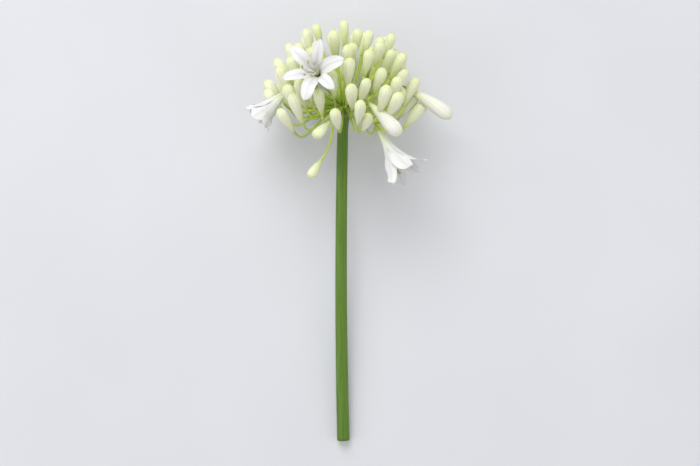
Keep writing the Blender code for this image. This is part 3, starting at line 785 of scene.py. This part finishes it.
def stalk_skin(tree):
    """Lime green that pales towards the bud, with faint streaks and a soft inner glow."""
    uv, along = skin_places(tree)
    lime = shades(
        tree, along, (0.0, "#a6be38"), (0.12, "#bfd444"), (0.6, "#d8e75c"), (1.0, "#dee888")
    )
    varied = lay_over(tree, lime, marked(tree, "chance"), "#8ea838")
    streaks = fibres(tree, uv, (9.0, 5.0), Detail=2.0)
    return {
        "Base Color": lay_over(tree, varied, streaks, "#dbe596", (0.4, 0.7), 0.5),
        "IOR": 1.45,
        **grain(tree, streaks, (0.38, 0.5)),
        **inner_light(0.35, (0.8, 1.0, 0.2), 0.0012),
    }


def make_pedicels(florets):
    """Tubes on the Bezier curves, with a sine across for the waver and a smooth step to swell."""
    rng = np.random.default_rng(SEED + 1)
    base, axis, corners = grow(florets)
    count = len(base)
    share = np.linspace(0.0, 1.0, PEDICEL_PLACES - 1)
    lines = bezier(corners, share)
    across = unit(np.cross(axis, rng.normal(size=(count, 3))))
    sway = np.sin(ROUND * (share * rng.uniform(*WAVES, (count, 1)) + rng.uniform(0, 1, (count, 1))))
    hold = 4 * share * (1 - share)
    lines += (WAVER * sway * hold)[..., None] * across[:, None]
    lines = np.concatenate([lines, (base + INTO_BUD * axis)[:, None]], axis=1)
    share = np.append(share, 1.0)
    swell = ramp(share, SWELLS_FROM, 1)
    swell = swell**2 * (3 - 2 * swell)
    in_bud, in_tube = FITS_BUD * florets["radius"], FITS_TUBE * TUBE_RADIUS
    end_radius = np.where(florets["length"] > 0, in_bud, in_tube)
    foot = np.exp(-share / FOOT_SHARE)
    radii = PEDICEL_RADIUS_MID + (PEDICEL_RADIUS_ROOT - PEDICEL_RADIUS_MID) * foot
    radii = radii + (end_radius[:, None] - PEDICEL_RADIUS_MID) * swell
    radii = radii * rng.uniform(*THICKNESS_SPREAD, (count, 1))
    radii[:, -1] *= LAST_RING
    rings = rings_round(lines, radii[..., None], PEDICEL_SIDES)
    marks = {"chance": rng.uniform(0.0, 1.0, (count, 1, 1))}
    skin("pedicels", rings, finish("grown_thin_stalk_skin", stalk_skin), "umbel", marks=marks)


make_pedicels(FLORETS)

# %% [markdown]
# ## Closed buds: their finish
#
# A bud is six tepals folded round each other. Their skin is soft, matt and a little see-through:
# green at the stalk, cream white on the belly, yellow green at the tip, and the younger, the more
# green. Along each tepal runs a grey green rib, and between two of them a darker seam: partly the
# fine line of the tepals' edges, partly painted shade in the groove there. Both are marks that the
# mesh carries, so that they lie exactly on the form. Light that enters such tissue comes out a
# millimetre or two away, which is the subsurface part.

# %% Finish of the buds
YOUNG = (
    (0.0, "#b4cb64"), (0.20, "#c9d98a"), (0.50, "#e2e9b4"), (0.80, "#e9efbe"), (0.93, "#e3eab0"),
    (1.0, "#dae39a"),
)
RIPE = (
    (0.0, "#c8d982"), (0.14, "#dce5ac"), (0.34, "#eff1d4"), (0.80, "#f5f6dc"), (0.93, "#e9edc8"),
    (1.0, "#e3e8b2"),
)
PARTING = (
    (0.0, "#d3e0a2"), (0.18, "#e6ebca"), (0.45, "#efefe6"), (0.85, "#efeee8"), (1.0, "#edebd2"),
)


def bud_skin(tree):
    """Three colours along the bud, mixed by ripeness, with veins, ribs and seams over them.

    A seam's darker colour is partly the tepals' edge line and partly painted shade in its groove.
    Red and green light go further inside than blue, so what comes through is yellow green.
    """
    uv, along = skin_places(tree)
    young, ripe, parting = (shades(tree, along, *stops) for stops in (YOUNG, RIPE, PARTING))
    ripeness = marked(tree, "ripeness")
    colour = lay_over(tree, lay_over(tree, young, ripeness, ripe), ripeness, parting, (1.0, 2.0))
    veins = fibres(tree, uv, (60.0, 3.0), Detail=2.0, Distortion=0.3)
    colour = lay_over(tree, colour, veins, "#c9d0a2", (0.52, 0.72), 0.16)
    # The seam's darker colour is partly the tepals' edge line and partly painted shade in its groove.
    for line, shade in (("rib", "#bcc49a"), ("seam_groove_and_shade", "#a8b080")):
        colour = lay_over(tree, colour, marked(tree, line), shade, most=0.20)
    return {
        "Base Color": colour,
        "IOR": 1.42,
        **grain(tree, veins, (0.44, 0.58), (0.25, 0.0002)),
        **inner_light(0.45, (0.95, 1.0, 0.35), 0.0020),
    }


BUD_SKIN = finish("grown_folded_tepal_skin", bud_skin)

# %% [markdown]
# ## Closed buds: their form
#
# The bud is a club: thin at the stalk, widest at three quarters, blunt at the tip. Its outline is a
# rising sine up to the widest place and a quarter of an ellipse from there. Three outer tepals stand
# a tenth of a millimetre above the three inner ones that show between them, with a low rib along
# each and a groove along each edge. The relief fades towards the base, where the tepals are one
# tube. A bud also leans on a little in the way that its stalk bends.

# %% Club-shaped buds with six tepals
BUD_PLACES, BUD_SIDES, CLOSER_TO_TIP = 25, 48, 1.6
BUD_FOOT, BUD_WIDEST, BUD_WAIST = 0.24, 0.77, 1.15
TEPAL_EDGE, RIB_HALF, SEAM_HALF = np.radians([37.5, 6.0, 4.5])
OUTER_STANDS, RIB_STANDS, SEAM_SINKS = 0.012, 0.005, 0.014
RELIEF_FULL, TIP_FROM, TIP_SEAMS = 0.35, 0.85, 2.5
LEANS_ON, LEANS_FROM, TWIST = (-0.05, 0.16), 0.35, 0.22
OVAL, DENTS, DENT_SLANT = 0.06, 0.03, 4
RIPE_INSIDE, RIPER_OUTSIDE, RIPE_SPREAD, RIPE_LIMITS = 0.30, 0.72, 0.16, (0.05, 1.0)
PLACED_RIPENESS = (2.0, 1.8, 0.70, 0.50)


def bud_outline(share):
    """Share of the full radius: a rising sine up to the widest place, then a quarter ellipse."""
    quarter = math.pi / 2 * ramp(share, 0, BUD_WIDEST) ** BUD_WAIST
    past = ramp(share, BUD_WIDEST, 1)
    return (BUD_FOOT + (1 - BUD_FOOT) * np.sin(quarter)) * np.sqrt(1 - past**2)


def bud_relief(share, around):
    """Relief, rib and seam on a grid: smooth steps and narrow bell curves of the angle round.

    The seam's curve is the groove, and the finish darkens it as edge line and painted shade.
    """
    from_outer = np.abs((around + math.pi / 3) % (ROUND / 3) - math.pi / 3)
    from_any = np.abs((around + math.pi / 6) % (ROUND / 6) - math.pi / 6)
    outer = np.where(from_outer < TEPAL_EDGE, 1.0, -1.0)
    rib = np.exp(-((from_any / RIB_HALF) ** 2))
    seam_groove_and_shade = np.exp(-(((from_outer - TEPAL_EDGE) / SEAM_HALF) ** 2))
    fade, tip = ramp(share, 0, RELIEF_FULL)[:, None], ramp(share, TIP_FROM, 1)[:, None]
    relief = OUTER_STANDS * outer + RIB_STANDS * rib - SEAM_SINKS * (1 + TIP_SEAMS * tip) * seam_groove_and_shade
    return fade * relief, rib * fade * (1 - tip), seam_groove_and_shade * fade


def twisted_rings(lines, radii, starts, twists, share):
    """Rings round lines that start at their own angle and turn evenly along the line."""
    ways = unit(np.gradient(lines, axis=1))
    helper = np.where(np.abs(ways[:, :1, 2:]) > STEEP, (1.0, 0.0, 0.0), (0.0, 0.0, 1.0))
    first = unit(np.cross(np.cross(ways, helper), ways))
    angle = starts[:, None, None] + (twists[:, None] * share)[..., None] + angles(radii.shape[-1])
    return lines[:, :, None] + radii[..., None] * turned(first, ways, angle[..., None])


def make_buds(name, florets, rows, ripeness, seed):
    """The buds in these rows: outline times relief, a little oval and dented by slow cosines."""
    rng = np.random.default_rng(seed)
    base, axis, corners = grow(florets)
    lean = axis - unit(corners[3] - corners[0])
    lean -= (lean * axis).sum(axis=1, keepdims=True) * axis
    base, axis, lean = base[rows], axis[rows], lean[rows]
    length, radius = florets["length"][rows, None], florets["radius"][rows, None]
    count = len(rows)
    share = crowded(BUD_PLACES, CLOSER_TO_TIP)[:-1]
    reach = rng.uniform(*LEANS_ON, (count, 1)) * length
    lines = base[:, None] + (length * share)[..., None] * axis[:, None]
    lines += (reach * (share - LEANS_FROM) * share)[..., None] * lean[:, None]
    around = angles(BUD_SIDES)
    relief, rib, seam_groove_and_shade = bud_relief(share, around)
    each = (count, 1, 1)
    form = 1 + rng.uniform(0.0, OVAL, each) * np.cos(2 * around + rng.uniform(0, 6, each))
    dent = np.cos(3 * around + rng.uniform(0, 6, each) + DENT_SLANT * share[:, None])
    form = form + rng.uniform(0.0, DENTS, each) * dent
    radii = (radius * bud_outline(share))[..., None] * (1 + relief) * form
    starts, twists = rng.uniform(0, ROUND, count), rng.normal(0.0, TWIST, count)
    rings = twisted_rings(lines, radii, starts, twists, share)
    # The seam mark goes to the finish, which darkens it as edge line and as painted shade in the
    # groove.
    marks = {"rib": rib[None], "seam_groove_and_shade": seam_groove_and_shade[None], "ripeness": ripeness[:, None, None]}
    skin(name, rings, BUD_SKIN, "umbel", share, marks)


def bud_ripeness():
    """From 0, green, to 1, cream: riper further out on the spiral. Up to 2, white, it opens."""
    rng = np.random.default_rng(SEED + 2)
    chance = rng.normal(0.0, RIPE_SPREAD, BUD_COUNT)
    spiral = np.clip(RIPE_INSIDE + RIPER_OUTSIDE * np.sqrt(ORDER) + chance, *RIPE_LIMITS)
    return np.append(spiral, PLACED_RIPENESS)


RIPENESS = bud_ripeness()
HALF = BUD_COUNT // 2
for part, rows in {"inner_buds": range(HALF), "outer_buds": range(HALF, len(RIPENESS))}.items():
    make_buds(part, FLORETS, np.array(rows), RIPENESS[rows.start : rows.stop], SEED + rows.stop)

# %% [markdown]
# ## Open flowers: their finish
#
# An open tepal is half a millimetre thick, white with a cool grey in its shade, and it lets light
# through. The tube keeps some of the bud's green. Along the middle runs a slightly darker rib, and
# beside it finer veins, about half a millimetre apart.

# %% Finish of the open tepals
def tepal_skin(tree):
    """White with a green tube, veins as a stretched noise, and a grey rib from the mesh's mark."""
    uv, along = skin_places(tree)
    white = shades(
        tree, along, (0.0, "#cfe09a"), (0.12, "#dce5bd"), (0.32, "#e8ebde"), (0.50, "#ebebea"),
        (1.0, "#ececed"),
    )
    veins = fibres(tree, uv, (44.0, 2.5), Detail=2.0, Distortion=0.4)
    veined = lay_over(tree, white, veins, "#d6d6de", (0.50, 0.72), 0.35)
    return {
        "Base Color": lay_over(tree, veined, marked(tree, "rib"), "#c6c9c8", most=0.55),
        "IOR": 1.42,
        **grain(tree, veins, (0.46, 0.60), (0.35, 0.0002)),
        **inner_light(0.30, (1.0, 1.0, 0.9), 0.0012),
    }


TEPAL_SKIN = finish("grown_open_tepal_skin", tepal_skin)

# %% [markdown]
# ## Open flowers: their form
#
# Six tepals make the flower, three outer ones and three inner, wider ones that lie a little closer
# to the axis. Sheets with Solidify would do, but a tepal is thick at its rib and thin at its edge. So
# each is a flat tube, whose ring is a thin lens as wide as the tepal. Low down the lens is bent as
# round as the flower's tube, so that six of them close it, and further out it flattens. The edges
# ripple, and no tepal opens quite as far as its neighbours.

# %% Tepals as thin lenses along the flare
TEPAL_PLACES, TEPAL_SIDES, TEPAL_CROWDING = 46, 44, 1.5
WHORL_OFFSET = 0.0005
WIDEST_SHARE, FLATTER, WIDTH_SPREAD = 0.62, (1.5, 1.0), (0.95, 1.05)
TIP_ROUNDING, TIP_POINT, TIP_THINNER = 2.1, 0.62, 0.5
TEPAL_THIN, TEPAL_RIB_THICK, RIB_WIDTH, RIB_FULL = 0.00042, 0.00085, 0.16, 0.25
TUBE_OVERLAP = 1.22
RIPPLE_WAVES, RIPPLE_GROWS = (1.3, 2.1), 0.8


def tepal_ring_grid(name, number, rng):
    """Points of one tepal round its lens, in the flower's own axes, with its rib and the shares.

    The cosine of the angle round the lens is the place across the tepal, and its sine times the
    thickness is the step off the middle surface. That surface is an arc across the tepal's line.
    """
    bloom, whorl = BLOOMS[name], number % 2
    share = crowded(TEPAL_PLACES, TEPAL_CROWDING)[:-1]
    more = opening(name, number) + math.radians(rng.uniform(-bloom["opens_by"], bloom["opens_by"]))
    out, along, angle = (row[:, None] for row in bloom_line(name, share, more))
    free = ramp(share, TUBE_SHARE, 1)[:, None]
    widest = bloom["widths"][whorl] / 2 * rng.uniform(*WIDTH_SPREAD)
    at_tube = np.minimum(out * math.tan(math.pi / 6) * TUBE_OVERLAP, widest)
    widening = np.sin(ramp(free, 0, WIDEST_SHARE) * math.pi / 2)
    past = ramp(free, WIDEST_SHARE, 1)
    half = (at_tube + (widest - at_tube) * widening) * (1 - past**TIP_ROUNDING) ** TIP_POINT
    bend_radius = out * (1 + FLATTER[whorl] * free)
    around = angles(TEPAL_SIDES)
    across = np.cos(around)
    sweep = across * (half / bend_radius)
    ridge = np.exp(-((across / RIB_WIDTH) ** 2))
    thick = (TEPAL_THIN + (TEPAL_RIB_THICK - TEPAL_THIN) * ridge) * (1 - TIP_THINNER * past)
    phases = rng.uniform(0.0, 1.0, 2)
    wave = np.sin(ROUND * (rng.uniform(*RIPPLE_WAVES) * free + np.where(across > 0, *phases)))
    wave = across**2 * free**RIPPLE_GROWS * wave + rng.uniform(-1.0, 1.0) * across * free
    lift = bloom["ripple"] * wave - np.sin(around) * thick / 2
    off = lift * np.cos(sweep) - bend_radius * (1 - np.cos(sweep)) - WHORL_OFFSET * whorl
    radial, height = out + off * np.cos(angle), along - off * np.sin(angle)
    side = (bend_radius + lift) * np.sin(sweep)
    return on_tepal(number, radial, side, height), ridge * ramp(free, 0, RIB_FULL), share


def make_tepals(name):
    """All six tepals of one open flower, turned into the flower's own place."""
    rng = np.random.default_rng(SEED + 10 + list(BLOOMS).index(name))
    base, sides = bloom_frame(name)
    grids, ribs, shares = zip(*(tepal_ring_grid(name, number, rng) for number in range(6)))
    rings = base + np.stack(grids) @ sides.T
    skin(name + "_tepals", rings, TEPAL_SKIN, name, shares[0], {"rib": np.stack(ribs)})


for name in BLOOMS:
    make_tepals(name)

# %% [markdown]
# ## Stamens and style
#
# Six white threads rise from the throat, each with a yellow brown anther on top, and a seventh, the
# style, is longer and has none. All are tubes that droop to the flower's lower side, so they peek out
# of the trumpet there. An anther is a short split bean, fixed at its middle, so it sits across its
# thread. The pollen on it is dull and grainy.

# %% Threads and anthers
THREAD_PLACES, THREAD_SIDES, ANTHER_PLACES, ANTHER_SIDES = 16, 10, 15, 16
FILAMENT_RADIUS, FILAMENT_TAPER = 0.00040, 0.35
THREAD_ROOT_RADIUS, THREAD_SUNK, THREAD_SHORTER, SPREADS_LATE = 0.0012, 0.0060, 0.002, 1.6
ANTHER_RADIUS, ANTHER_LENGTH, ANTHER_CURVE = 0.00085, 0.0034, 0.0006
ANTHER_ENDS, ANTHER_LOBES, ANTHER_TIPS_UP = (0.02, 0.98), 0.22, 0.5
STYLE_RADIUS, STYLE_LENGTH, STYLE_SPREAD = 0.00042, 0.021, 0.0015
STYLE_TAPER, STYLE_KNOB, STYLE_KNOB_FROM = 0.2, 0.5, 0.95


def thread_skin(tree):
    """Smooth white thread, a little greener at its foot."""
    _, along = skin_places(tree)
    return {
        "Base Color": shades(tree, along, (0.0, "#e2e9c8"), (0.5, "#f3f3ee"), (1.0, "#f6f5ee")),
        "IOR": 1.42,
        **grain(tree, grainy(tree, "TexNoise", 900.0, Detail=2.0), (0.40, 0.55)),
        **inner_light(0.25, USUAL_REACH, 0.0008),
    }


def pollen(tree):
    """Yellow brown pollen in grains 0.2 mm apart, coarser than real ones so that they show."""
    grains = grainy(tree, "TexVoronoi", 5000.0)
    colour = shades(tree, grains, (0.0, "#dcd596"), (0.45, "#bdb272"), (1.0, "#8a8248"))
    return {"Base Color": colour, "Roughness": 0.85, **grain(tree, grains, bump=(0.6, 0.0001))}


def thread_lines(name, turns, reaches, spread):
    """Lines from the throat: out by a power of the share, and to one side by its square."""
    base, sides = bloom_frame(name)
    throat = bloom_line(name, THROAT_SHARE)[1]
    share = np.linspace(0.0, 1.0, THREAD_PLACES)
    out = THREAD_ROOT_RADIUS + spread * share**SPREADS_LATE
    height = throat - THREAD_SUNK + np.outer(reaches + THREAD_SUNK - THREAD_SHORTER, share)
    droop, side = BLOOMS[name]["droop"]
    side = math.radians(side)
    x = np.outer(np.cos(turns), out) + droop * math.cos(side) * share**2
    y = np.outer(np.sin(turns), out) + droop * math.sin(side) * share**2
    return base + np.stack([x, y, height], axis=-1) @ sides.T


def make_threads(name):
    """The filaments and the style, which taper to the tip; the style ends in a knob."""
    turns = (np.arange(6) + 0.5) * math.pi / 3
    bloom = BLOOMS[name]
    filaments = thread_lines(name, turns, np.tile(bloom["threads"], 3), bloom["spread"])
    style = thread_lines(name, [math.pi / 2], np.array([STYLE_LENGTH]), STYLE_SPREAD)
    lines = np.concatenate([filaments, style])
    share = np.linspace(0.0, 1.0, THREAD_PLACES)
    radii = FILAMENT_RADIUS * (1 - FILAMENT_TAPER * np.tile(share, (len(lines), 1)))
    knob = STYLE_KNOB * (share > STYLE_KNOB_FROM)
    radii[-1] = STYLE_RADIUS * (1 - STYLE_TAPER * share + knob)
    rings = rings_round(lines, radii[..., None], THREAD_SIDES)
    skin(name + "_threads", rings, THREAD, name)
    return filaments


def make_anthers(name, filaments):
    """Beans across the filaments' tips: a half circle's radius along, and two lobes round."""
    rng = np.random.default_rng(SEED + 20 + list(BLOOMS).index(name))
    tips = filaments[:, -1]
    ways = unit(tips - filaments[:, -2])
    lying = unit(np.cross(ways, rng.normal(size=(6, 3))) + ANTHER_TIPS_UP * ways)
    share = np.linspace(*ANTHER_ENDS, ANTHER_PLACES)
    circle = 1 - (2 * share - 1) ** 2
    lines = tips[:, None] + (ANTHER_LENGTH * (share - 0.5))[:, None] * lying[:, None]
    lines += (ANTHER_CURVE * circle)[:, None] * ways[:, None]
    lobes = 1 + ANTHER_LOBES * np.cos(2 * angles(ANTHER_SIDES))
    radii = np.tile(ANTHER_RADIUS * np.sqrt(circle)[:, None] * lobes, (6, 1, 1))
    skin(name + "_anthers", rings_round(lines, radii, ANTHER_SIDES), POLLEN, name)


THREAD = finish("grown_white_thread", thread_skin)
POLLEN = finish("shed_pollen_on_anther", pollen)
for name in BLOOMS:
    make_anthers(name, make_threads(name))

# %% [markdown]
# ## Dry flaps under the head
#
# When the buds broke out, the papery leaf round them split and fell. A few dry shreds are left on
# the brown ring: small curled lenses, made like the tepals, that point out and down.

# %% Papery shreds of the spathe
SHREDS, SHRED_PLACES, SHRED_SIDES, SHRED_END = 7, 14, 20, 0.985
SHRED_LENGTHS, SHRED_WIDTH, SHRED_THICK = (0.0018, 0.0042), 0.0016, 0.00022
SHRED_BELOW, SHRED_ROOT, SHRED_WAY, SHRED_CURLS = 0.0026, 0.9, (0.8, -0.2), (0.3, 1.1)
SHRED_POINT, SHRED_TROUGH = 0.7, 0.25


def dry_paper(tree):
    """Dry papery brown, pinkish, with darker fibres along it."""
    uv, _ = skin_places(tree)
    paper = fibres(tree, uv, (12.0, 2.0), Detail=3.0)
    colour = shades(tree, paper, (0.3, "#8a6a4c"), (0.55, "#b79a7c"), (0.75, "#cdb59c"))
    return {"Base Color": colour, "Roughness": 0.75, **grain(tree, paper, bump=(0.5, 0.0001))}


def make_shreds():
    """Lenses on lines that leave the stem's ring and curl down: a parabola of the share."""
    rng = np.random.default_rng(SEED + 30)
    turn = np.sort(rng.uniform(0, ROUND, SHREDS))[:, None]
    outwards = np.cos(turn) * UP + np.sin(turn) * RIGHT
    sideways = np.cross(outwards, ALONG)
    share = np.linspace(0.0, SHRED_END, SHRED_PLACES)
    length = rng.uniform(*SHRED_LENGTHS, (SHREDS, 1))
    root = LINE[-1] - SHRED_BELOW * ALONG + outwards * (HUB_RADIUS * SHRED_ROOT)
    curl = rng.uniform(*SHRED_CURLS, (SHREDS, 1))
    way = SHRED_WAY[0] * outwards + SHRED_WAY[1] * ALONG
    lines = root[:, None] + (length * share)[..., None] * way[:, None]
    lines -= (length * curl * share**2)[..., None] * ALONG
    normals = np.cross(unit(np.gradient(lines, axis=1)), sideways[:, None])[:, :, None]
    around = angles(SHRED_SIDES)
    half = (SHRED_WIDTH / 2 * (1 - share**2) ** SHRED_POINT)[:, None]
    flat = (half * np.cos(around))[None, ..., None] * sideways[:, None, None]
    bent = SHRED_TROUGH * half * np.cos(around) ** 2 - SHRED_THICK / 2 * np.sin(around)
    rings = lines[:, :, None] + flat + bent[None, ..., None] * normals
    skin("spathe_shreds", rings, finish("dried_papery_spathe", dry_paper), "scape", share)


make_shreds()

# %% [markdown]
# ## Floor, light and camera
#
# The flower lies on a plain pale floor. Its light is soft, as from a large window with a blind, and
# comes from beyond the head, which is above it when the flower stands. A wide sun lamp gives most of
# it, evenly. A panel near the head falls off down the stem, and two weak panels fill the sides. The
# camera looks straight down and so sees the laid flower as one sees it standing: from the side, and
# a little of the head's top, because the stem rises towards the head.

# %% Floor
FLOOR_REACH, FLOOR_BELOW = 15.0, 0.0001


def painted_board(tree):
    """A pale matt board with a very faint mottle."""
    mottle = grainy(tree, "TexNoise", 6.0, Detail=2.0)
    colour = shades(tree, mottle, (0.3, "#d7d8de"), (0.7, "#dbdce2"))
    return {"Base Color": colour, "Roughness": 0.9, "Specular IOR Level": 0.2}


def make_floor():
    """A large square just under the flower."""
    mesh = bpy.data.meshes.new("studio_floor")
    corners = np.array([(-1, -1, 0), (1, -1, 0), (1, 1, 0), (-1, 1, 0)]) * FLOOR_REACH
    mesh.from_pydata(corners - (0.0, 0.0, FLOOR_BELOW), [], [(0, 1, 2, 3)])
    mesh.materials.append(finish("matt_painted_board", painted_board))
    floor = linked("studio_floor", mesh)
    floor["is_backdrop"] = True


make_floor()

# %% Lights and sky
WINDOW_FROM, WINDOW_ANGLE, WINDOW_STRENGTH = (-0.35, 1.3, 1.9), math.radians(38.0), 0.98
PANELS = (
    ("top_panel", (-0.3, 0.95, 0.95), 0.9, 5.8),
    ("left_panel", (-1.5, -0.3, 1.2), 1.2, 6.0),
    ("right_panel", (1.6, -0.2, 1.0), 1.4, 4.0),
)
TARGET = (0.0, 0.02, 0.05)
SKY_COLOUR, SKY_STRENGTH = "#f8f8f6", 0.56


def shine(name, kind, at, **settings):
    """A light at a place, with its -Z side turned to the middle of the flower."""
    light = bpy.data.lights.new(name, kind)
    for key, value in settings.items():
        setattr(light, key, value)
    holder = linked(name, light)
    holder.location = at
    back = (holder.location - type(holder.location)(TARGET)).normalized()
    holder.rotation_euler = back.to_track_quat("Z", "Y").to_euler()


shine("window", "SUN", WINDOW_FROM, angle=WINDOW_ANGLE, energy=WINDOW_STRENGTH)
for name, at, size, watts in PANELS:
    shine(name, "AREA", at, size=size, energy=watts)

world = bpy.data.worlds.new("studio")
world.use_nodes = True
sky = world.node_tree.nodes["Background"].inputs
sky["Color"].default_value, sky["Strength"].default_value = linear(SKY_COLOUR), SKY_STRENGTH
bpy.context.scene.world = world
bpy.context.scene.view_settings.view_transform = "Standard"
print("light panels:", len(PANELS))

# %% Camera
LENS, SENSOR = 85.0, 36.0
FRAME_SHAPE = 466 / 700
SEEN_LENGTH = 0.384
MID_HEIGHT = 0.05


def make_camera():
    """Looks straight down from where the picture's height takes in SEEN_LENGTH of the flower."""
    camera = bpy.data.cameras.new("camera")
    camera.lens, camera.sensor_width = LENS, SENSOR
    holder = linked("camera", camera)
    distance = SEEN_LENGTH * LENS / (SENSOR * FRAME_SHAPE)
    holder.location = (0.0, 0.0, MID_HEIGHT + distance)
    bpy.context.scene.camera = holder
    print("camera is", round(distance, 2), "m away")


make_camera()

# %% [markdown]
# ## Last sizes
#
# The dressed flower has to stay as large as the plain one. Both boxes are printed, in millimetres.

# %% Sizes and finish
boxes = {"cad": CAD_BOX, "visual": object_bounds()}
for name, (low, high) in boxes.items():
    print(name, "box in mm:", [round(side * 1000, 1) for side in high - low])
